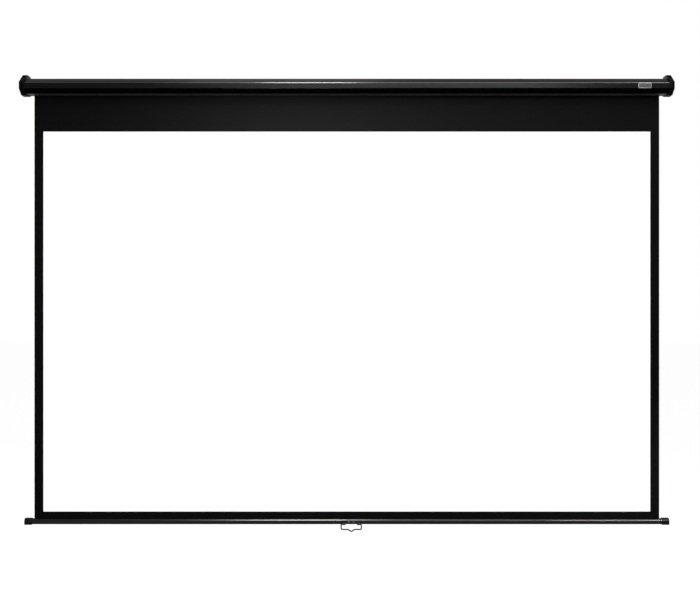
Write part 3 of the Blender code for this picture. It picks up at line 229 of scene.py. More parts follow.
class HandleSettings(PropertyGroup):
    """Sizes and finish of the pull handle."""
    wire: length("Wire", 0.0022, "Radius of the bail's wire")
    half_width: length("Half width", 0.0336, "Half the bail's width at its shoulders")
    end_half: length("End", 0.0205, "Place of each hooked end from the bail's middle")
    drop: length("Drop", 0.0173, "Depth of the bail's straight sides")
    tip_drop: length("Tip drop", 0.0248, "Depth of the finger point")
    tip_half: length("Tip half width", 0.0105, "Half the finger point's width")
    bend: length("Bend", 0.0045, "Radius of the wire's bends")
    edge: length("Plate edge", 0.00022, "Rounding of the pressed plate's edges")
    coat: colour("Coat", (0.0050, 0.0050, 0.0054), "Black coat on the steel")
    worn: colour("Worn coat", (0.011, 0.011, 0.012), "Coat where fingers have polished it")
    wire_coat: colour("Wire coat", (0.0020, 0.0020, 0.0022), "Black coat on the bail's wire")


class InnerSettings(PropertyGroup):
    """Finishes of the pieces inside the case and the bar."""
    zinc: colour("Zinc", (0.56, 0.57, 0.60), "Zinc-plated steel")
    zinc_dark: colour("Zinc, darker", (0.40, 0.41, 0.44), "Darker flowers in the zinc")
    steel: colour("Turned steel", (0.50, 0.50, 0.51), "Turned steel")
    spring: colour("Spring wire", (0.16, 0.155, 0.15), "Oiled spring wire")
    nylon: colour("Nylon", (0.72, 0.71, 0.66), "Natural nylon")
    rod: colour("Hem rod", (0.62, 0.62, 0.60), "Plastic of the hem rod")


class StageSettings(PropertyGroup):
    """Camera, floor and light."""
    camera_x: level("Camera across", 0.0106, "Place of the camera across the screen")
    camera_distance: length("Camera distance", 3.015, "Distance of the camera from the wall")
    camera_height: level("Camera height", -0.704, "Height of the camera")
    lens: FloatProperty(name="Lens", description="Focal length", default=46.25, min=1.0, unit="CAMERA")
    floor_height: level("Floor height", -2.05, "Height of the floor")
    floor: colour("Floor", (0.62, 0.62, 0.62), "Pale floor")
    floor_glow: share("Floor glow", 0.72, "Light that the floor adds where it is seen")
    ambient: share("Ambient", 0.42, "Strength of the light from all round")
    fill_power: power("Side softboxes", 108.0, "Power of each side softbox")
    back_power: power("Back softbox", 18.0, "Power of the softbox behind the screen")
    front_strip: power("Front strip", 120.0, "Power of the strip that the case's front mirrors")
    bend_strip: power("Bend strip", 125.0, "Power of the strip that the bends of case and bar mirror")
    wide_strip: power("Wide strip", 66.0, "Power of the wide strip beside the bend strip")
    overhead_strip: power("Overhead strip", 5.0, "Power of the strip that the case's upper facet mirrors")
    right_strip: power("Right strip", 60.0, "Power of the strip that the right ends of case and bar mirror")
    bar_strip: power("Bar strip", 90.0, "Power of the strip that the weight bar mirrors")
    front_side_strip: power("Front side strip", 46.0, "Power of the strip at the front strip's right")
    bar_end_strip: power("Bar end strip", 3.6, "Power of the strip for the bar's right end alone")


# Shapes

def of_type(items, kind):
    """Those of the items that are of one kind."""
    return [item for item in items if isinstance(item, kind)]


def weld(bm):
    """Joins vertices that lie in one place."""
    bmesh.ops.remove_doubles(bm, verts=bm.verts, dist=NEAR)


def left_of(direction):
    """The flat direction a quarter turn to the left."""
    return Vector((-direction.y, direction.x))


def grown(corners, distance):
    """A closed outline, anticlockwise in Y and Z, moved out by a distance with its sides kept parallel."""
    moved = []
    for before, corner, after in zip(corners[-1:] + corners, corners, corners[1:] + corners[:1]):
        bisector = left_of((corner - before).normalized()) + left_of((after - corner).normalized())
        moved.append(corner - bisector * (2 * distance / bisector.length_squared))
    return moved


def draw_out(bm, edges, way):
    """Draws edges out along a vector, and gives all that this made."""
    made = bmesh.ops.extrude_edge_only(bm, edges=edges)["geom"]
    bmesh.ops.translate(bm, verts=of_type(made, VERT), vec=way)
    return made


def strip(bm, corners, start, end):
    """Draws a run of corners in Y and Z out along X, and gives the faces."""
    verts = [bm.verts.new((start, y, z)) for y, z in corners]
    edges = [bm.edges.new(pair) for pair in zip(verts, verts[1:])]
    return of_type(draw_out(bm, edges, (end - start, 0.0, 0.0)), FACE)


def raised(places, way):
    """A flat face through these places, drawn out along a vector."""
    bm = bmesh.new()
    face = bm.faces.new([bm.verts.new(place) for place in places])
    made = bmesh.ops.extrude_face_region(bm, geom=[face])["geom"]
    bmesh.ops.translate(bm, verts=of_type(made, VERT), vec=way)
    bmesh.ops.recalc_face_normals(bm, faces=bm.faces)
    return bm


def prism(corners, start, end):
    """A closed outline in Y and Z drawn out along X."""
    return raised([(start, y, z) for y, z in corners], (end - start, 0.0, 0.0))


def bevel(bm, edges, width, segments):
    """Rounds these edges."""
    bmesh.ops.bevel(
        bm, geom=edges, offset=width, offset_type="OFFSET", affect="EDGES", segments=segments, profile=0.5,
        material=-1, clamp_overlap=True,
    )


def round_bends(bm, corners, radii, segments=6):
    """Rounds the long edges that run along X from these corners, each to its own radius."""
    for i, (corner, radius) in enumerate(zip(corners, radii)):
        if radius <= 0.0:
            continue
        back = (corners[i - 1] - corner).normalized()
        ahead = (corners[(i + 1) % len(corners)] - corner).normalized()
        edges = [edge for edge in bm.edges if all((vert.co.yz - corner).length < NEAR for vert in edge.verts)]
        bevel(bm, edges, radius / math.tan(back.angle(ahead) / 2), segments)


def end_face(bm, x):
    """The largest face that lies at this place along X."""
    faces = [face for face in bm.faces if all(abs(vert.co.x - x) < NEAR for vert in face.verts)]
    return max(faces, key=lambda face: face.calc_area())


def turned(profile, steps):
    """A profile of (radius, height) from axis to axis, turned once about Z."""
    bm = bmesh.new()
    verts = [bm.verts.new((radius, 0.0, height)) for radius, height in profile]
    edges = [bm.edges.new(pair) for pair in zip(verts, verts[1:])]
    bmesh.ops.spin(
        bm, geom=verts + edges, cent=(0, 0, 0), axis=(0, 0, 1), angle=2 * math.pi, steps=steps, use_merge=True
    )
    weld(bm)
    bmesh.ops.recalc_face_normals(bm, faces=bm.faces)
    return bm


def swept(bm, geom, centre, axis, angle, steps):
    """Sweeps geometry part of the way round an axis, and gives its edges at the end."""
    made = bmesh.ops.spin(bm, geom=geom, cent=centre, axis=axis, angle=angle, steps=steps, use_merge=False)
    return of_type(made["geom_last"], EDGE)


def block(size, centre):
    """A box of this size about a centre."""
    bm = bmesh.new()
    bmesh.ops.create_cube(bm, size=1.0)
    bmesh.ops.scale(bm, vec=size, verts=bm.verts)
    bmesh.ops.translate(bm, vec=centre, verts=bm.verts)
    return bm


def aim(bm, direction, place):
    """Turns what was made along +Z to point this way, and sets it at a place."""
    turn = Vector((0.0, 0.0, 1.0)).rotation_difference(Vector(direction)).to_matrix()
    bmesh.ops.rotate(bm, verts=bm.verts, cent=(0, 0, 0), matrix=turn)
    bmesh.ops.translate(bm, verts=bm.verts, vec=place)
    return bm


def face_out(bm, faces, centre):
    """Turns the faces so that they look away from a line along X through the centre (Y, Z)."""
    bmesh.ops.recalc_face_normals(bm, faces=faces)
    bm.normal_update()
    outward = sum((face.calc_center_median().yz - centre).dot(face.normal.yz) for face in faces)
    if outward < 0:
        bmesh.ops.reverse_faces(bm, faces=faces)


def bent_wire(points, radius, bend, sides=20, bend_steps=10):
    """Round wire along a path, each of its corners bent to one radius, its ends slightly rounded."""
    bm = bmesh.new()
    bmesh.ops.create_circle(bm, cap_ends=False, radius=radius, segments=sides)
    aim(bm, (points[1] - points[0]).normalized(), points[0])
    ring = bm.edges[:]
    place = points[0]
    for before, corner, after in zip(points, points[1:], points[2:] + [None]):
        ahead = (corner - before).normalized()
        stop = corner
        if after is not None:
            onward = (after - corner).normalized()
            turn = ahead.angle(onward)
            stop = corner - ahead * (bend * math.tan(turn / 2))
        ring = of_type(draw_out(bm, ring, stop - place), EDGE)
        if after is not None:
            axis = ahead.cross(onward).normalized()
            centre = stop + axis.cross(ahead) * bend
            verts = list(dict.fromkeys(vert for edge in ring for vert in edge.verts))
            ring = swept(bm, verts + ring, centre, axis, turn, bend_steps)
            place = centre + Matrix.Rotation(turn, 3, axis) @ (stop - centre)
    rings = [edge for edge in bm.edges if len(edge.link_faces) == 1]
    bmesh.ops.holes_fill(bm, edges=rings, sides=0)
    bmesh.ops.recalc_face_normals(bm, faces=bm.faces)
    rims = [edge for edge in bm.edges if any(len(face.verts) == sides for face in edge.link_faces)]
    bevel(bm, rims, radius * 0.3, 3)
    return bm


# Pieces

def mesh_of(name, bm):
    """A named mesh, made from a bmesh that is then freed."""
    mesh = bpy.data.meshes.new(name)
    bm.to_mesh(mesh)
    bm.free()
    return mesh


def placed(name, data):
    """A named object in the scene that holds a mesh, a lamp or a camera."""
    made = bpy.data.objects.new(name, data)
    bpy.context.scene.collection.objects.link(made)
    return made


def piece(name, bm, finish, body, smooth_deg=35.0):
    """A named piece that moves with one body."""
    mesh = mesh_of(name, bm)
    mesh.materials.append(finish)
    mesh.shade_smooth()
    mesh.set_sharp_from_angle(angle=math.radians(smooth_deg))
    made = placed(name, mesh)
    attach(made, body)
    return made


def cut(target, tool_bm):
    """Cuts a shape out of a bmesh piece, and gives the cut one back."""
    whole, tool = [placed("cut", mesh_of("cut", bm)) for bm in (target, tool_bm)]
    boolean = whole.modifiers.new("cut", "BOOLEAN")
    boolean.operation = "DIFFERENCE"
    boolean.solver = "EXACT"
    boolean.object = tool
    shaped = whole.evaluated_get(bpy.context.evaluated_depsgraph_get())
    result = bmesh.new()
    result.from_mesh(shaped.to_mesh())
    shaped.to_mesh_clear()
    for obj in (whole, tool):
        mesh = obj.data
        bpy.data.objects.remove(obj)
        bpy.data.meshes.remove(mesh)
    if not result.faces:
        raise RuntimeError("a cut left nothing of its piece")
    return result


# Finishes

class Finish:
    """A Principled material that is built up node by node."""

    def __init__(self, name, colour, roughness, metallic=0.0, sheen=0.5):
        self.material = bpy.data.materials.new(name)
        self.material.use_nodes = True
        self.tree = self.material.node_tree
        self.shader = self.tree.nodes["Principled BSDF"]
        self.shader.inputs["Base Color"].default_value = (*colour, 1.0)
        self.shader.inputs["Roughness"].default_value = roughness
        self.shader.inputs["Metallic"].default_value = metallic
        self.shader.inputs["Specular IOR Level"].default_value = sheen

    def node(self, kind, **inputs):
        """A node with these inputs, each a value or the output of another node."""
        made = self.tree.nodes.new(kind)
        for key, value in inputs.items():
            self.give(made.inputs[key.replace("_", " ")], value)
        return made

    def give(self, socket, value):
        """Links an output to a socket, or sets the socket's value."""
        if isinstance(value, bpy.types.NodeSocket):
            self.tree.links.new(value, socket)
        else:
            socket.default_value = value

    def place(self, stretch=(1.0, 1.0, 1.0)):
        """Object coordinates in metres, stretched."""
        coordinates = self.node("ShaderNodeTexCoord").outputs["Object"]
        return self.node("ShaderNodeMapping", Vector=coordinates, Scale=stretch).outputs["Vector"]

    def grain(self, scale, stretch=(1.0, 1.0, 1.0), detail=3.0, roughness=0.5):
        """Noise whose cells are about 1 / scale metres wide."""
        where = self.place(stretch)
        noise = self.node("ShaderNodeTexNoise", Vector=where, Scale=scale, Detail=detail, Roughness=roughness)
        return noise.outputs["Fac"]

    def cells(self, scale):
        """A flat random value for each cell of about 1 / scale metres."""
        cell = self.node("ShaderNodeTexVoronoi", Vector=self.place(), Scale=scale)
        return self.node("ShaderNodeSeparateColor", Color=cell.outputs["Color"]).outputs["Red"]

    def threads(self, pitch, along):
        """Round threads of this pitch that follow each other along one axis."""
        wave = self.node("ShaderNodeTexWave", Vector=self.place(), Scale=math.pi / (10 * pitch))
        wave.bands_direction = along
        return wave.outputs["Fac"]

    def between(self, value, low, high, start=0.35, stop=0.65):
        """Carries a value from start to stop over to a range from low to high."""
        made = self.node("ShaderNodeMapRange", Value=value)
        for key, number in (("From Min", start), ("From Max", stop), ("To Min", low), ("To Max", high)):
            made.inputs[key].default_value = number
        return made.outputs["Result"]

    def sum(self, first, second, operation="ADD"):
        """Two values joined by a sum or another operation."""
        made = self.node("ShaderNodeMath")
        made.operation = operation
        self.give(made.inputs[0], first)
        self.give(made.inputs[1], second)
        return made.outputs["Value"]

    def tint(self, value, first, second, start=0.35, stop=0.65):
        """Base colour that goes from the first colour to the second as the value rises."""
        ramp = self.node("ShaderNodeValToRGB", Fac=value)
        for element, place, shade in zip(ramp.color_ramp.elements, (start, stop), (first, second)):
            element.position = place
            element.color = (*shade, 1.0)
        self.give(self.shader.inputs["Base Color"], ramp.outputs["Color"])

    def polish(self, value, low, high, start=0.35, stop=0.65):
        """Roughness from low to high as the value rises."""
        self.give(self.shader.inputs["Roughness"], self.between(value, low, high, start, stop))

    def relief(self, height, depth, strength=1.0):
        """Bumps of this depth in metres, over any that are there."""
        made = self.node("ShaderNodeBump", Height=height, Distance=depth, Strength=strength)
        earlier = self.shader.inputs["Normal"]
        if earlier.links:
            self.give(made.inputs["Normal"], earlier.links[0].from_socket)
        self.give(earlier, made.outputs["Normal"])


def satin_paint(name, dark, light, roughness, sheen):
    """Baked black paint on an aluminium section: fine orange peel, and draw lines that follow its length."""
    made = Finish(name, dark, roughness, sheen=sheen)
    made.tint(made.grain(900.0, detail=4.0), dark, light)
    drawn = made.grain(420.0, stretch=(0.012, 1.0, 1.0), detail=3.0)
    made.polish(drawn, roughness - 0.035, roughness + 0.045)
    made.relief(made.grain(650.0, detail=2.0), 0.00002, 0.30)
    made.relief(drawn, 0.00001, 0.18)
    return made.material


def moulded_plastic(name, dark, light, roughness, sheen):
    """Black plastic with a spark-eroded grain."""
    made = Finish(name, dark, roughness, sheen=sheen)
    made.tint(made.grain(1400.0, detail=3.0), dark, light)
    made.polish(made.grain(160.0, detail=5.0), roughness - 0.05, roughness + 0.06)
    made.relief(made.grain(2200.0, detail=2.0), 0.00003, 0.45)
    return made.material


def coated_cloth(name, dark, light, pitch, roughness, sheen, depth):
    """Cloth with a thin coating that lets its weave show."""
    made = Finish(name, dark, roughness, sheen=sheen)
    across = made.threads(pitch, "X")
    down = made.threads(pitch, "Z")
    weave = made.sum(across, down, "MULTIPLY")
    mottle = made.grain(55.0, detail=4.0)
    both = made.sum(made.sum(weave, 0.5, "MULTIPLY"), made.sum(mottle, 0.5, "MULTIPLY"))
    made.tint(both, dark, light, 0.15, 0.75)
    made.polish(mottle, roughness - 0.04, roughness + 0.04)
    made.relief(weave, depth, 0.35)
    made.relief(made.grain(3000.0, detail=2.0), depth / 2, 0.25)
    return made.material


def zinc_plate(name, light, dark):
    """Zinc-plated sheet steel with faint flowers."""
    made = Finish(name, light, 0.36, metallic=1.0)
    flowers = made.cells(260.0)
    made.tint(flowers, dark, light, 0.0, 1.0)
    made.polish(made.grain(500.0, detail=5.0), 0.30, 0.46)
    made.relief(made.grain(900.0, detail=3.0), 0.00001, 0.25)
    return made.material


def turned_steel(name, tone):
    """Steel with fine tool lines round it."""
    made = Finish(name, tone, 0.28, metallic=1.0)
    lines = made.grain(300.0, stretch=(30.0, 1.0, 1.0), detail=2.0)
    made.tint(lines, [0.8 * part for part in tone], tone)
    made.polish(lines, 0.22, 0.36)
    made.relief(lines, 0.00001, 0.2)
    return made.material


def spring_wire(name, tone):
    """Oil-tempered wire, darker where the oil has dried."""
    made = Finish(name, tone, 0.34, metallic=0.9)
    oil = made.grain(120.0, detail=5.0, roughness=0.6)
    made.tint(oil, [0.6 * part for part in tone], [1.25 * part for part in tone])
    made.polish(oil, 0.26, 0.44)
    made.relief(made.grain(2500.0, detail=2.0), 0.00001, 0.2)
    return made.material


def natural_nylon(name, tone):
    """Milky nylon that light passes into a little."""
    made = Finish(name, tone, 0.42)
    made.shader.inputs["Subsurface Weight"].default_value = 0.15
    made.shader.inputs["Subsurface Radius"].default_value = (0.003, 0.0026, 0.002)
    made.shader.inputs["Subsurface Scale"].default_value = 0.5
    milky = made.grain(90.0, detail=3.0)
    made.tint(milky, [0.93 * part for part in tone], tone)
    made.polish(made.grain(300.0, detail=3.0), 0.36, 0.50)
    made.relief(made.grain(1500.0, detail=2.0), 0.00001, 0.3)
    return made.material


def worn_black(name, dark, worn, roughness, metallic=0.55, sheen=0.5):
    """Blackened or coated steel whose edges are polished through."""
    made = Finish(name, dark, roughness, metallic=metallic, sheen=sheen)
    edge = made.node("ShaderNodeNewGeometry").outputs["Pointiness"]
    patchy = made.between(made.grain(400.0, detail=4.0), -0.02, 0.02)
    made.tint(made.sum(edge, patchy), dark, worn, 0.53, 0.58)
    made.polish(made.grain(700.0, detail=4.0), roughness - 0.06, roughness + 0.08)
    made.relief(made.grain(1800.0, detail=2.0), 0.00001, 0.35)
    return made.material


# Case

def case_section(case):
    """Corners of the case's section and their radii, from the slot's rear lip round the back and the top."""
    back, front = case.back_corner, case.front_corner
    bends = (
        (-case.slot_rear, case.rear_flange + case.lip, 0.0),
        (-case.slot_rear, case.rear_flange, back),
        (CASE_HIGH.y, case.rear_flange, back),
        (CASE_HIGH.y, CASE_HIGH.z, back),
        (-case.top_depth, CASE_HIGH.z, front),
        (CASE_LOW.y, case.front_top, front),
        (CASE_LOW.y, case.front_bottom, front),
        (-case.underside_depth, CASE_LOW.z, front),
        (-case.slot_front, CASE_LOW.z, back),
        (-case.slot_front, CASE_LOW.z + case.lip, 0.0),
    )
    return [Vector((y, z)) for y, z, _ in bends], [radius for _, _, radius in bends]


def screw_middles():
    """Middles of the cap screws, in Y and Z."""
    boxes = [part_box(f"cap_screw_left_{number}") for number in (1, 2, 3)]
    return [((low + high) / 2).yz for low, high in boxes]


class PROJECTORSCREEN_OT_case(Operator):
    """Make the case: a bent aluminium section with its screw channels"""
    bl_idname = "projector_screen.case"
    bl_label = "Case"
    bl_options = {"REGISTER", "UNDO"}

    # Angle of a screw channel's mouth, and how much the faces of the front bend and the lower slope look up
    mouth_angle = math.radians(70.0)
    bend_up = (0.15, 0.70)
    slope_up = (-0.95, -0.35)

    def execute(self, context):
        case = context.scene.screen_case
        corners, radii = case_section(case)
        bm = bmesh.new()
        strip(bm, corners, CASE_LOW.x, CASE_HIGH.x)
        round_bends(bm, corners, radii, 8)
        face_out(bm, bm.faces[:], (CASE_LOW + CASE_HIGH).yz / 2)
        bmesh.ops.solidify(bm, geom=bm.faces[:], thickness=case.wall)
        self.screw_channels(bm, case, (corners[7] - corners[6]).normalized())
        paint, light = case.paint, case.paint_light
        coats = (
            satin_paint("case_satin_black", paint, light, case.roughness, case.sheen),
            satin_paint("case_bend_black", paint, light, case.bend_roughness, case.bend_sheen),
            # Painted shade on the lower slope: a darker black coat that reflects nothing, as if the slope lay
            # in shade
            satin_paint("case_shade_black", case.shade, paint, roughness=0.45, sheen=0.0),
            # Painted reflection on the underside: a pale grey coat in place of the light that it mirrors
            satin_paint("case_underside_grey", case.underside, case.underside, roughness=0.5, sheen=0.1),
        )
        made = piece("case_section", bm, coats[0], "case", smooth_deg=30.0)
        for coat in coats[1:]:
            made.data.materials.append(coat)
        for face in made.data.polygons:
            face.material_index = self.coat_number(case, face.center, face.normal)
        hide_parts("case_shell")
        return {"FINISHED"}

    def screw_channels(self, bm, case, slope):
        """Open channels that the cap screws bite into, each with its mouth to the nearest wall."""
        steps = 20
        step = (2 * math.pi - self.mouth_angle) / steps
        for centre, mouth in zip(screw_middles(), (Vector((0.0, -1.0)), Vector((1.0, 0.0)), left_of(slope))):
            start = Matrix.Rotation(self.mouth_angle / 2, 2) @ mouth * case.channel_radius
            run = [centre + Matrix.Rotation(i * step, 2) @ start for i in range(steps + 1)]
            faces = strip(bm, run, CASE_LOW.x, CASE_HIGH.x)
            face_out(bm, faces, centre)
            bmesh.ops.solidify(bm, geom=faces, thickness=case.channel_wall)

    def coat_number(self, case, middle, normal):
        """Which coat a face wears: 1 on the front bend, 2 with painted shade on the lower slope, 3 with a
        painted reflection below, 0 elsewhere.
        """
        flattest, steepest = self.slope_up
        at_bend = abs(middle.z - case.front_top) < case.front_corner and normal.y < 0.0
        if at_bend and self.bend_up[0] < normal.z < self.bend_up[1]:
            return 1
        if flattest < normal.z < steepest and middle.y < case.front_corner - case.underside_depth:
            return 2
        if normal.z < flattest and -case.underside_depth < middle.y < -case.slot_front:
            return 3
        return 0


class PROJECTORSCREEN_OT_badge_plate(Operator):
    """Make the bare plate on the case's front"""
    bl_idname = "projector_screen.badge_plate"
    bl_label = "Badge plate"
    bl_options = {"REGISTER", "UNDO"}

    def execute(self, context):
        plate = context.scene.screen_badge_plate
        back = CASE_LOW.y + plate.seat
        front = CASE_LOW.y - plate.rise
        low, high = plate.bottom, plate.top
        places = ((plate.left, low), (plate.right, low), (plate.right, high), (plate.left, high))
        bm = raised([(x, back, z) for x, z in places], (0.0, front - back, 0.0))
        upright = [edge for edge in bm.edges if abs(edge.verts[0].co.y - edge.verts[1].co.y) > plate.seat]
        bevel(bm, upright, plate.corner, 6)
        shown = min(bm.faces, key=lambda face: face.calc_center_median().y)
        bevel(bm, shown.edges[:], plate.rise * 0.4, 3)
        shown = min(bm.faces, key=lambda face: (round(face.calc_center_median().y, 6), -face.calc_area()))
        sunk = plate.rise * 0.25
        bmesh.ops.inset_region(bm, faces=[shown], thickness=plate.rim, depth=0.0)
        bmesh.ops.inset_region(bm, faces=[shown], thickness=sunk, depth=-sunk)
        piece("badge_plate", bm, self.finish(plate, front, sunk), "case")
        return {"FINISHED"}

    def finish(self, plate, front, sunk):
        """Satin field with a pale rim, told apart by how far the surface stands out."""
        made = Finish("badge_plate_satin", plate.field, 0.32, metallic=0.6)
        depth = made.node("ShaderNodeSeparateXYZ", Vector=made.place()).outputs["Y"]
        step = front + sunk / 2
        rim = made.between(depth, 1.0, 0.0, step - 0.00001, step + 0.00001)
        outer = made.between(depth, 0.0, 1.0, front + plate.rise * 0.45, front + plate.rise * 0.5)
        made.tint(made.sum(rim, outer, "SUBTRACT"), plate.field, plate.edge, 0.4, 0.6)
        made.polish(made.grain(600.0, stretch=(0.05, 1.0, 1.0)), 0.26, 0.40)
        made.relief(made.grain(1500.0, stretch=(0.08, 1.0, 1.0)), 0.00001, 0.3)
        return made.material


# End caps

def ends(node, side):
    """Places along X of a cap's open rim and of its closed end."""
    low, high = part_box(node)
    return (low.x, high.x) if side > 0 else (high.x, low.x)


def cap_block(outline, radii, rim_x, end_x, edge, rim_edge):
    """A cap's outline drawn out along X, with one rounding at its end and another at its rim."""
    bm = prism(outline, rim_x, end_x)
    round_bends(bm, outline, radii, 8)
    bevel(bm, end_face(bm, end_x).edges[:], edge, 5)
    bevel(bm, end_face(bm, rim_x).edges[:], rim_edge, 3)
    return bm


def cap_corners(case, cap):
    """Corners of an end cap's section: round the case, with an ear above and a fuller belly below."""
    low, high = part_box("end_cap_left")
    return [
        Vector((0.0, case.rear_flange - cap.flange_drop)),
        Vector((0.0, high.z - cap.ear_chamfer)),
        Vector((-2 * cap.ear_chamfer, high.z)),
        Vector((-cap.ear_depth, high.z)),
        Vector((low.y, case.front_top + cap.shoulder)),
        Vector((low.y, case.front_bottom - cap.front_drop)),
        Vector((-cap.belly_front, low.z)),
        Vector((-cap.belly_rear, low.z)),
    ]


def countersunk(screws, reach, clearance=0.0, past=0.0):
    """A cap screw along Z, its head's face at 0, or the tool that cuts its hole."""
    shank = screws.cap_shank + clearance
    head = screws.cap_head + clearance
    top = [(0.0, 0.0), (head - screws.head_rim, 0.0), (head, -screws.head_rim / 2)]
    if past:
        top = [(0.0, past), (head, past), (head, 0.0)]
    return turned(top + [(shank, -screws.cap_head_height), (shank, -reach), (0.0, -reach)], 40)


def cap_cavity(case, rim_x, deep_x):
    """The room in an end cap for the case's end, open towards the wall."""
    corners, radii = [values[1:-1] for values in case_section(case)]
    outline = grown(corners, GAP)
    for i, corner in enumerate(corners):
        if corner.x == CASE_HIGH.y:
            outline[i].x = PAST
            radii[i] = 0.0
    bm = prism(outline, rim_x, deep_x)
    round_bends(bm, outline, [radius + GAP if radius else 0.0 for radius in radii])
    return bm


class PROJECTORSCREEN_OT_end_caps(Operator):
    """Make the two end caps with their hanging ears"""
    bl_idname = "projector_screen.end_caps"
    bl_label = "End caps"
    bl_options = {"REGISTER", "UNDO"}

    def execute(self, context):
        cap = context.scene.screen_cap
        finish = moulded_plastic("end_cap_plastic", cap.plastic, cap.plastic_light, cap.roughness, cap.sheen)
        for side, name in SIDES:
            bm = self.shell(context.scene, side, f"end_cap_{name}")
            made = piece(f"{name}_end_cap", bm, finish, "case", smooth_deg=32.0)
            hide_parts(f"end_cap_{name}")
        return {"FINISHED"}

    def shell(self, scene, side, node):
        """One cap: its rounded block, sunk end panel, cavity, ear hole and screw holes."""
        case, cap = scene.screen_case, scene.screen_cap
        rim_x, end_x = ends(node, side)
        corners = cap_corners(case, cap)
        radii = [cap.back_corner] * 2 + [cap.corner] * 6
        bm = cap_block(corners, radii, rim_x, end_x, cap.edge, cap.rim_edge)
        inner = grown(corners, -(cap.edge + cap.panel_inset))
        panel = prism(inner, end_x - side * cap.panel_depth, end_x + side * PAST)
        round_bends(panel, inner, [cap.panel_corner] * len(inner))
        bm = cut(bm, panel)
        head_x = end_x - side * (cap.panel_depth + cap.screw_sink)
        for middle in screw_middles():
            tool = countersunk(scene.screen_screws, 2 * cap.end_wall, GAP, PAST)
            bm = cut(bm, aim(tool, (side, 0.0, 0.0), (head_x, middle.x, middle.y)))
        low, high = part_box(node)
        narrow, wide, seat, front = cap.ear_hole, cap.counterbore, -cap.ear_seat, low.y - PAST
        profile = [(0.0, PAST), (narrow, PAST), (narrow, seat), (wide, seat), (wide, front), (0.0, front)]
        place = ((rim_x + end_x) / 2, 0.0, high.z - cap.ear_drop)
        bm = cut(bm, aim(turned(profile, 40), (0.0, 1.0, 0.0), place))
        bm = cut(bm, cap_cavity(case, rim_x - side * PAST, end_x - side * cap.end_wall))
        weld(bm)
        return bm


def cross_cut(bm, size, depth, top=0.0):
    """Sinks a cross into a screw's head, whose face lies at a height."""
    for turn in (0.0, math.pi / 2):
        blade = block((size, size * 0.22, depth * 2), (0.0, 0.0, 0.0))
        foot = [vert for vert in blade.verts if vert.co.z < 0]
        bmesh.ops.scale(blade, vec=(0.45, 0.7, 1.0), verts=foot)
        bmesh.ops.rotate(blade, verts=blade.verts, cent=(0, 0, 0), matrix=Matrix.Rotation(turn, 3, "Z"))
        bmesh.ops.translate(blade, verts=blade.verts, vec=(0.0, 0.0, top))
        bm = cut(bm, blade)
    return bm


class PROJECTORSCREEN_OT_cap_screws(Operator):
    """Make the six countersunk screws of the end caps"""
    bl_idname = "projector_screen.cap_screws"
    bl_label = "Cap screws"
    bl_options = {"REGISTER", "UNDO"}

    def execute(self, context):
        screws = context.scene.screen_screws
        finish = worn_black("screw_black_oxide", screws.black, screws.worn, roughness=0.30)
        for side, name in SIDES:
            for number in (1, 2, 3):
                node = f"cap_screw_{name}_{number}"
                low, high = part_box(node)
                middle = (low + high) / 2
                bm = cross_cut(countersunk(screws, high.x - low.x), size=0.0040, depth=0.0012)
                aim(bm, (side, 0.0, 0.0), (ends(node, side)[1], middle.y, middle.z))
                made = piece(f"{name}_cap_screw_{number}", bm, finish, "case")
                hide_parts(node)
        return {"FINISHED"}


# Sheet

def ripple(x, z, height):
    """Slow waves of the hanging sheet, still at its side edges and where it leaves the roller."""
    hang = min(1.0, (CARRIER_HIGH.z - z) / 0.3) * min(1.0, (z - CARRIER_LOW.z) / 0.1)
    waves = math.sin(5.3 * x + 1.1) + 0.6 * math.sin(9.7 * x - 2.1 * z) + 0.4 * math.sin(3.1 * z + 0.7)
    return height * 0.5 * hang * waves


def thicken(obj, thickness):
    """Gives a sheet its thickness, with crisp borders."""
    bm = bmesh.new()
    bm.from_mesh(obj.data)
    for edge in bm.edges:
        if edge.is_boundary:
            edge.smooth = False
    bm.to_mesh(obj.data)
    bm.free()
    wall = obj.modifiers.new("thickness", "SOLIDIFY")
    wall.thickness = thickness
    wall.offset = 0.0
    wall.use_even_offset = True


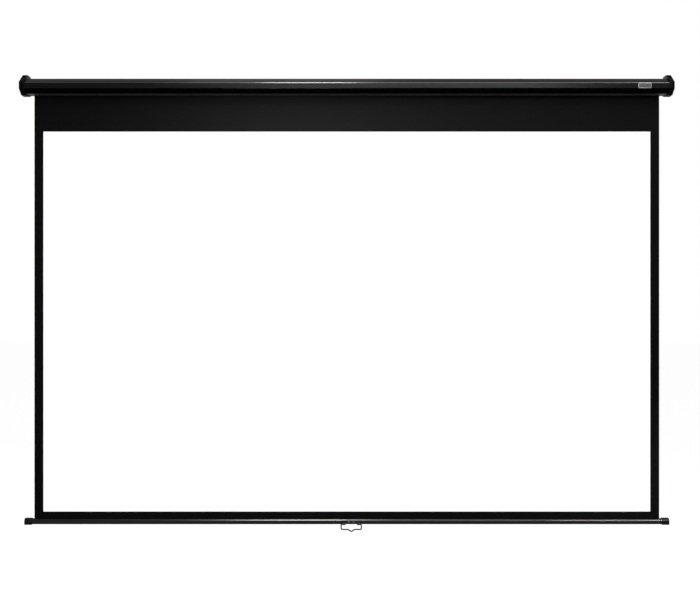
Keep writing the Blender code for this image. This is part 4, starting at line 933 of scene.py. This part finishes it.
class PROJECTORSCREEN_OT_sheet(Operator):
    """Make the black carrier sheet, its hem and the white viewing layer"""
    bl_idname = "projector_screen.sheet"
    bl_label = "Sheet"
    bl_options = {"REGISTER", "UNDO"}

    # How far below the roller's axis the white layer stops, clear of the turns on the tube
    white_clear = 0.0075
    # Least share of a layer's length that is left when the bar is up
    least_left = 0.001

    def execute(self, context):
        sheet = context.scene.screen_sheet
        black = coated_cloth(
            "carrier_black", sheet.black, sheet.black_light, sheet.weave,
            roughness=0.50, sheen=0.019, depth=0.00004,
        )
        white = coated_cloth(
            "viewing_white", sheet.white_shade, sheet.white, sheet.weave,
            roughness=0.88, sheen=0.20, depth=0.00002,
        )
        carrier, carrier_flat = self.layer(
            "carrier_cloth", "carrier_sheet", black, "black_sheet", sheet, sheet.thickness, CARRIER_HIGH.z
        )
        white_stop = ROLLER.z - self.white_clear
        viewing, viewing_flat = self.layer(
            "viewing_layer", "viewing_surface", white, "white_sheet", sheet, sheet.coating, white_stop
        )

        hem = self.hem(black)
        return {"FINISHED"}

    def layer(self, name, node, finish, slot, sheet, thickness, stop_z):
        """A fine flat layer in a node's place, with slow waves in it, and its flat size.
        """
        low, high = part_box(node)
        flat = (high.x - low.x, high.z - low.z)
        bm = bmesh.new()
        bmesh.ops.create_grid(bm, x_segments=sheet.across, y_segments=sheet.down, size=0.5)
        bmesh.ops.rotate(bm, verts=bm.verts, cent=(0, 0, 0), matrix=Matrix.Rotation(math.pi / 2, 3, "X"))
        bmesh.ops.scale(bm, verts=bm.verts, vec=(flat[0], 1.0, flat[1]))
        bmesh.ops.translate(bm, verts=bm.verts, vec=(low + high) / 2)
        for vert in bm.verts:
            vert.co.y += ripple(vert.co.x, vert.co.z, sheet.ripple)
        made = piece(name, bm, finish, "case", smooth_deg=60.0)
        thicken(made, thickness)
        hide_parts(node)
        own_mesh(made)
        return made, flat

    def hem(self, finish):
        """The hem that wraps the rod in the bar's groove."""
        thickness = 0.0002
        opening = math.radians(40.0)
        radius = ROD_RADIUS + thickness * 0.75
        start = ROD.yz + radius * Vector((math.sin(opening / 2), math.cos(opening / 2)))
        bm = bmesh.new()
        verts = [bm.verts.new((x, start.x, start.y)) for x in (ROD_LOW.x, ROD_HIGH.x)]
        swept(bm, verts + [bm.edges.new(verts)], ROD, (-1, 0, 0), 2 * math.pi - opening, 32)
        face_out(bm, bm.faces[:], ROD.yz)
        made = piece("hem_sleeve", bm, finish, "weight_bar", smooth_deg=60.0)
        thicken(made, thickness)
        return made


class PROJECTORSCREEN_OT_wound_sheet(Operator):
    """Make the turns of sheet that stay on the roller"""
    bl_idname = "projector_screen.wound_sheet"
    bl_label = "Wound sheet"
    bl_options = {"REGISTER", "UNDO"}

    turns = 1.5
    steps = 90

    def execute(self, context):
        sheet = context.scene.screen_sheet
        finish = bpy.data.materials.get("carrier_black")
        if finish is None:
            raise RuntimeError("make the sheet before its wound turns")
        low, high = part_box("wound_sheet")
        radius = SHEET_Y - ROLLER.y
        step_angle = 2 * math.pi * self.turns / self.steps
        step_turn = Matrix.Rotation(step_angle, 3, "X")
        step_in = self.turns * (sheet.thickness + GAP) / self.steps
        bm = bmesh.new()
        edges = [bm.edges.new([bm.verts.new((x, SHEET_Y, ROLLER.z)) for x in (low.x, high.x)])]
        for _ in range(self.steps):
            drawn = bmesh.ops.extrude_edge_only(bm, edges=edges)["geom"]
            edges, moved = of_type(drawn, EDGE), of_type(drawn, VERT)
            bmesh.ops.rotate(bm, verts=moved, cent=ROLLER, matrix=step_turn)
            for vert in moved:
                vert.co.yz = ROLLER.yz + (vert.co.yz - ROLLER.yz) * (1 - step_in / radius)
            radius -= step_in
        face_out(bm, bm.faces[:], ROLLER.yz)
        made = piece("wound_cloth", bm, finish, "roller", smooth_deg=60.0)
        thicken(made, sheet.thickness)
        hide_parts("wound_sheet")
        return {"FINISHED"}


# Weight bar

def bar_section(bar):
    """Corners of the weight bar's section, anticlockwise from its rear lower edge, and the radius of each."""
    rear, front = BAR_HIGH.y, BAR_LOW.y
    corners = ((rear, BAR_LOW.z), (rear, BAR_HIGH.z), (front, BAR_HIGH.z), (front, BAR_LOW.z))
    radii = [bar.rear_corner, bar.rear_corner, bar.front_top_corner, bar.front_corner]
    return [Vector(corner) for corner in corners], radii


class PROJECTORSCREEN_OT_weight_bar(Operator):
    """Make the weight bar with its chamber and keyhole groove"""
    bl_idname = "projector_screen.weight_bar"
    bl_label = "Weight bar"
    bl_options = {"REGISTER", "UNDO"}

    def execute(self, context):
        bar = context.scene.screen_bar
        corners, radii = bar_section(bar)
        bm = prism(corners, BAR_LOW.x, BAR_HIGH.x)
        round_bends(bm, corners, radii, 8)
        start, end = BAR_LOW.x - 2 * PAST, BAR_HIGH.x + 2 * PAST
        radius = ROD_RADIUS + GAP
        room = grown(corners, -bar.wall)
        for corner in room:
            corner.y = min(corner.y, ROD.z - radius - bar.wall)
        chamber = prism(room, start, end)
        round_bends(chamber, room, [bar.rear_corner - bar.wall, 0.0, 0.0, bar.front_corner - bar.wall], 4)
        bm = cut(bm, chamber)
        groove = turned([(0.0, start), (radius, start), (radius, end), (0.0, end)], 32)
        bm = cut(bm, aim(groove, (1.0, 0.0, 0.0), (0.0, ROD.y, ROD.z)))
        neck_height = 0.004
        neck_middle = ROD.z + radius * 0.9 + neck_height / 2
        bm = cut(bm, block((end - start, bar.neck, neck_height), (0.0, SHEET_Y, neck_middle)))
        weld(bm)
        finish = satin_paint("bar_satin_black", bar.paint, bar.paint_light, bar.roughness, bar.sheen)
        made = piece("bar_section", bm, finish, "weight_bar", smooth_deg=30.0)
        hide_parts("weight_bar_section")
        return {"FINISHED"}


class PROJECTORSCREEN_OT_bar_caps(Operator):
    """Make the two caps on the weight bar's ends"""
    bl_idname = "projector_screen.bar_caps"
    bl_label = "Bar caps"
    bl_options = {"REGISTER", "UNDO"}

    def execute(self, context):
        bar = context.scene.screen_bar
        finish = moulded_plastic(
            "bar_cap_plastic", bar.plastic, bar.plastic_light, roughness=0.34, sheen=0.06
        )
        corners, radii = bar_section(bar)
        outline = grown(corners, bar.cap_wall + GAP)
        outer_radii = [radius + bar.cap_wall for radius in radii]
        inner = grown(corners, GAP)
        for side, name in SIDES:
            rim_x, end_x = ends(f"bar_cap_{name}", side)
            bm = cap_block(outline, outer_radii, rim_x, end_x, bar.cap_edge, bar.cap_rim_edge)
            room = prism(inner, rim_x - side * PAST, end_x - side * bar.cap_end)
            round_bends(room, inner, [radius + GAP for radius in radii], 8)
            bm = cut(bm, room)
            weld(bm)
            made = piece(f"{name}_bar_cap", bm, finish, "weight_bar", smooth_deg=32.0)
            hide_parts(f"bar_cap_{name}")
        return {"FINISHED"}


# Handle

class PROJECTORSCREEN_OT_handle(Operator):
    """Make the handle's plate, its two screws and the wire bail"""
    bl_idname = "projector_screen.handle"
    bl_label = "Pull handle"
    bl_options = {"REGISTER", "UNDO"}

    def execute(self, context):
        handle = context.scene.screen_handle
        screws = context.scene.screen_screws
        coat = {"roughness": 0.36, "metallic": 0.0, "sheen": 0.06}
        self.plate(handle, worn_black("handle_black_coat", handle.coat, handle.worn, **coat))
        self.bail(handle, worn_black("bail_black_coat", handle.wire_coat, handle.coat, **coat))
        finish = bpy.data.materials.get("screw_black_oxide") or worn_black(
            "screw_black_oxide", screws.black, screws.worn, roughness=0.30
        )
        for _, name in SIDES:
            self.screw(screws, name, finish)
        return {"FINISHED"}

    def plate(self, handle, coat):
        """The pressed plate with its ears, its edges rounded as pressing leaves them."""
        bm = bmesh.new()
        bm.from_mesh(frame["nodes"]["handle_bracket"].data)
        weld(bm)
        bmesh.ops.dissolve_limit(
            bm, angle_limit=math.radians(1.0), use_dissolve_boundaries=False, verts=bm.verts, edges=bm.edges
        )
        bmesh.ops.recalc_face_normals(bm, faces=bm.faces)
        made = piece("handle_plate", bm, coat, "weight_bar", smooth_deg=40.0)
        edge = made.modifiers.new("pressed_edge", "BEVEL")
        edge.width = handle.edge
        edge.segments = 2
        edge.limit_method = "ANGLE"
        edge.angle_limit = math.radians(40.0)
        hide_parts("handle_bracket")

    def bail(self, handle, coat):
        """The wire bail: ends hooked inwards, square shoulders and a finger point below."""
        pivot = Vector(JOINTS["handle_swing"]["pos_m"])
        half = [
            (-handle.end_half, 0.0), (-handle.half_width, 0.0), (-handle.half_width, -handle.drop),
            (-handle.tip_half, -handle.drop), (0.0, -handle.tip_drop),
        ]
        points = [pivot + Vector((x, 0.0, z)) for x, z in half + [(-x, z) for x, z in half[-2::-1]]]
        made = piece("bail_wire", bent_wire(points, handle.wire, handle.bend), coat, "handle")
        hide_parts("bail")

    def screw(self, screws, name, finish):
        """A round-headed screw with a cross recess."""
        low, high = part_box(f"handle_screw_{name}")
        middle = (low + high) / 2
        head, shank, height = screws.handle_head, screws.handle_shank, screws.handle_head_height
        reach = high.y - low.y - height
        dome = [(head * math.sin(turn), height * math.cos(turn)) for turn in (0.0, 0.35, 0.7, 1.0, 1.25, 1.5)]
        bm = turned(dome + [(head, 0.0), (shank, 0.0), (shank, -reach), (0.0, -reach)], 40)
        bm = cross_cut(bm, size=head * 1.15, depth=0.0009, top=height)
        aim(bm, (0.0, -1.0, 0.0), (middle.x, low.y + height, middle.z))
        made = piece(f"{name}_handle_screw", bm, finish, "weight_bar")
        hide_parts(f"handle_screw_{name}")


# Pieces inside

class PROJECTORSCREEN_OT_inner_finishes(Operator):
    """Give the spring roller, its brackets and the hem rod their finishes"""
    bl_idname = "projector_screen.inner_finishes"
    bl_label = "Inner finishes"
    bl_options = {"REGISTER", "UNDO"}

    def execute(self, context):
        inner = context.scene.screen_inner
        zinc = zinc_plate("zinc_plated_steel", inner.zinc, inner.zinc_dark)
        tube = zinc_plate("tube_zinc", inner.zinc, inner.zinc_dark)
        steel = turned_steel("turned_steel", inner.steel)
        wire = spring_wire("spring_wire", inner.spring)
        nylon = natural_nylon("natural_nylon", inner.nylon)
        rod = natural_nylon("hem_rod_plastic", inner.rod)
        finishes = {
            zinc: ("roller_bracket_left", "roller_bracket_right", "ratchet_hub", "pawl_upper", "pawl_lower"),
            tube: ("roller_tube",),
            steel: ("spindle", "idle_pin", "pawl_pin_upper", "pawl_pin_lower"),
            wire: ("counter_spring",),
            nylon: ("spring_collar", "drive_plug", "spring_end_plug", "idle_end_plug", "idle_bush"),
            rod: ("hem_rod",),
        }
        for finish, names in finishes.items():
            for name in names:
                for place in frame["nodes"][name].material_slots:
                    place.material = finish
        return {"FINISHED"}
# Stage

def seen_directly(tree):
    """1 for rays from the camera and for those that mirror or pass through, 0 for the rest."""
    path = tree.nodes.new("ShaderNodeLightPath")
    seen = path.outputs["Is Camera Ray"]
    for name in ("Is Glossy Ray", "Is Transmission Ray"):
        highest = tree.nodes.new("ShaderNodeMath")
        highest.operation = "MAXIMUM"
        tree.links.new(seen, highest.inputs[0])
        tree.links.new(path.outputs[name], highest.inputs[1])
        seen = highest.outputs["Value"]
    return seen


def mixed(tree, amount, first, second):
    """A shader that goes from the first to the second as the amount rises from 0 to 1."""
    made = tree.nodes.new("ShaderNodeMixShader")
    for socket, output in zip(made.inputs, (amount, first.outputs[0], second.outputs[0])):
        tree.links.new(output, socket)
    return made


def softbox(name, place, target, size, watts, diffuse=True, gloss=True, spread=math.pi):
    """A rectangular lamp aimed at a point, for dull surfaces, for gloss, or for both."""
    data = bpy.data.lights.new(name, "AREA")
    data.shape = "RECTANGLE"
    data.size, data.size_y = size
    data.energy = watts
    data.spread = spread
    made = placed(name, data)
    made.location = place
    made.rotation_euler = (target - Vector(place)).to_track_quat("-Z", "Y").to_euler()
    made.visible_camera = False
    made.visible_diffuse = diffuse
    made.visible_glossy = gloss


class PROJECTORSCREEN_OT_stage(Operator):
    """Set the camera, the pale floor, the lamps and the background"""
    bl_idname = "projector_screen.stage"
    bl_label = "Stage"
    bl_options = {"REGISTER", "UNDO"}

    def execute(self, context):
        stage = context.scene.screen_stage
        self.camera(context.scene, stage)
        self.floor(stage)
        self.background(context.scene, stage)
        self.lamps(stage)
        context.scene.view_settings.view_transform = "Standard"
        return {"FINISHED"}

    def lamps(self, stage):
        """Softboxes that light the screen evenly, and strips that only its glossy parts mirror."""
        middle = Vector((0.0, 0.0, stage.camera_height))
        case = Vector((-0.15, CASE_LOW.y, 0.0))
        bar = Vector((-0.15, BAR_LOW.y, BAR_HIGH.z))
        softbox("left_softbox", (-3.4, -3.6, -0.4), middle, (1.6, 2.2), stage.fill_power, gloss=False)
        softbox("right_softbox", (3.4, -3.6, -0.4), middle, (1.6, 2.2), stage.fill_power, gloss=False)
        softbox("back_softbox", (0.6, 3.6, 1.0), middle, (2.4, 2.0), stage.back_power)
        strips = (
            ("front_strip", (0.25, -4.5, 1.1), middle, (2.6, 1.0)),
            ("front_side_strip", (1.42, -4.5, 1.1), middle, (0.3, 1.0)),
            ("bend_strip", (-0.20, -1.2, 1.4), case, (0.47, 1.3)),
            ("wide_strip", (0.15, -1.25, 1.45), case, (2.2, 1.2)),
            ("overhead_strip", (-0.42, 1.1, 2.6), case, (1.2, 0.6)),
            ("right_strip", (1.75, -1.2, 1.4), case, (0.8, 1.3)),
            ("bar_strip", (-0.25, -1.0, -0.45), bar, (0.5, 0.5)),
        )
        for name, place, target, size in strips:
            softbox(name, place, target, size, getattr(stage, name), diffuse=False)
        bar_end = Vector((1.03, BAR_LOW.y, BAR_HIGH.z))
        softbox(
            "bar_end_strip", (1.40, -0.96, -0.82), bar_end, (0.9, 0.12), stage.bar_end_strip,
            diffuse=False, spread=math.radians(40.0),
        )

    def camera(self, scene, stage):
        """The camera, level, square to the wall."""
        data = bpy.data.cameras.new("camera")
        data.lens = stage.lens
        data.sensor_width = 36.0
        data.clip_end = 100.0
        made = placed("camera", data)
        made.location = (stage.camera_x, -stage.camera_distance, stage.camera_height)
        made.rotation_euler = (math.pi / 2, 0.0, 0.0)
        scene.camera = made

    def floor(self, stage):
        """A pale floor that keeps the screen's soft shadow, and is clear from below."""
        bm = bmesh.new()
        bmesh.ops.create_grid(bm, x_segments=1, y_segments=1, size=25.0)
        bmesh.ops.translate(bm, verts=bm.verts, vec=(0.0, 0.0, stage.floor_height))
        mesh = mesh_of("floor", bm)
        mesh.materials.append(self.floor_finish(stage))
        placed("floor", mesh)

    def floor_finish(self, stage):
        """Paint that shows white where it is lit, and keeps shadows."""
        finish = bpy.data.materials.new("floor_pale")
        finish.use_nodes = True
        tree = finish.node_tree
        tree.nodes.clear()
        paint = tree.nodes.new("ShaderNodeBsdfDiffuse")
        paint.inputs["Color"].default_value = (*stage.floor, 1.0)
        glow = tree.nodes.new("ShaderNodeEmission")
        glow.inputs["Strength"].default_value = stage.floor_glow
        lit = tree.nodes.new("ShaderNodeAddShader")
        tree.links.new(paint.outputs[0], lit.inputs[0])
        tree.links.new(glow.outputs[0], lit.inputs[1])
        seen = mixed(tree, seen_directly(tree), paint, lit)
        clear = tree.nodes.new("ShaderNodeBsdfTransparent")
        backfacing = tree.nodes.new("ShaderNodeNewGeometry").outputs["Backfacing"]
        output = tree.nodes.new("ShaderNodeOutputMaterial")
        tree.links.new(mixed(tree, backfacing, seen, clear).outputs[0], output.inputs[0])
        return finish

    def background(self, scene, stage):
        """White all round where it is seen or mirrored, and softer where it lights the screen."""
        world = bpy.data.worlds.new("studio")
        world.use_nodes = True
        tree = world.node_tree
        tree.nodes.clear()
        soft, white = [tree.nodes.new("ShaderNodeBackground") for _ in range(2)]
        soft.inputs["Strength"].default_value = stage.ambient
        for shade in (soft, white):
            shade.inputs["Color"].default_value = (1.0, 1.0, 1.0, 1.0)
        output = tree.nodes.new("ShaderNodeOutputWorld")
        tree.links.new(mixed(tree, seen_directly(tree), soft, white).outputs[0], output.inputs[0])
        scene.world = world


# Sidebar

STEPS = (
    ("projector_screen.case", "screen_case"),
    ("projector_screen.badge_plate", "screen_badge_plate"),
    ("projector_screen.end_caps", "screen_cap"),
    ("projector_screen.cap_screws", "screen_screws"),
    ("projector_screen.sheet", "screen_sheet"),
    ("projector_screen.wound_sheet", "screen_sheet"),
    ("projector_screen.weight_bar", "screen_bar"),
    ("projector_screen.bar_caps", "screen_bar"),
    ("projector_screen.handle", "screen_handle"),
    ("projector_screen.inner_finishes", "screen_inner"),
    ("projector_screen.stage", "screen_stage"),
)


class PROJECTORSCREEN_PT_steps(Panel):
    """The screen's pieces and their settings"""
    bl_idname = "PROJECTORSCREEN_PT_steps"
    bl_label = "Projector Screen"
    bl_space_type = "VIEW_3D"
    bl_region_type = "UI"
    bl_category = "Projector Screen"

    def draw(self, context):
        shown = set()
        for operator, group in STEPS:
            box = self.layout.box()
            box.operator(operator)
            if group in shown:
                continue
            shown.add(group)
            settings = getattr(context.scene, group)
            for name in settings.bl_rna.properties.keys():
                if name not in ("rna_type", "name"):
                    box.prop(settings, name)


SETTINGS = {
    "screen_case": CaseSettings,
    "screen_badge_plate": BadgePlateSettings,
    "screen_cap": CapSettings,
    "screen_screws": ScrewSettings,
    "screen_sheet": SheetSettings,
    "screen_bar": BarSettings,
    "screen_handle": HandleSettings,
    "screen_inner": InnerSettings,
    "screen_stage": StageSettings,
}

CLASSES = (
    *SETTINGS.values(),
    PROJECTORSCREEN_OT_case,
    PROJECTORSCREEN_OT_badge_plate,
    PROJECTORSCREEN_OT_end_caps,
    PROJECTORSCREEN_OT_cap_screws,
    PROJECTORSCREEN_OT_sheet,
    PROJECTORSCREEN_OT_wound_sheet,
    PROJECTORSCREEN_OT_weight_bar,
    PROJECTORSCREEN_OT_bar_caps,
    PROJECTORSCREEN_OT_handle,
    PROJECTORSCREEN_OT_inner_finishes,
    PROJECTORSCREEN_OT_stage,
    PROJECTORSCREEN_PT_steps,
)


def register():
    for made in CLASSES:
        bpy.utils.register_class(made)
    for name, group in SETTINGS.items():
        setattr(bpy.types.Scene, name, PointerProperty(type=group))


def unregister():
    for name in SETTINGS:
        delattr(bpy.types.Scene, name)
    for made in reversed(CLASSES):
        bpy.utils.unregister_class(made)


def main():
    """Makes every piece in order."""
    register()
    for operator, _ in STEPS:
        group, name = operator.split(".")
        getattr(getattr(bpy.ops, group), name)()


if __name__ == "__main__":
    main()
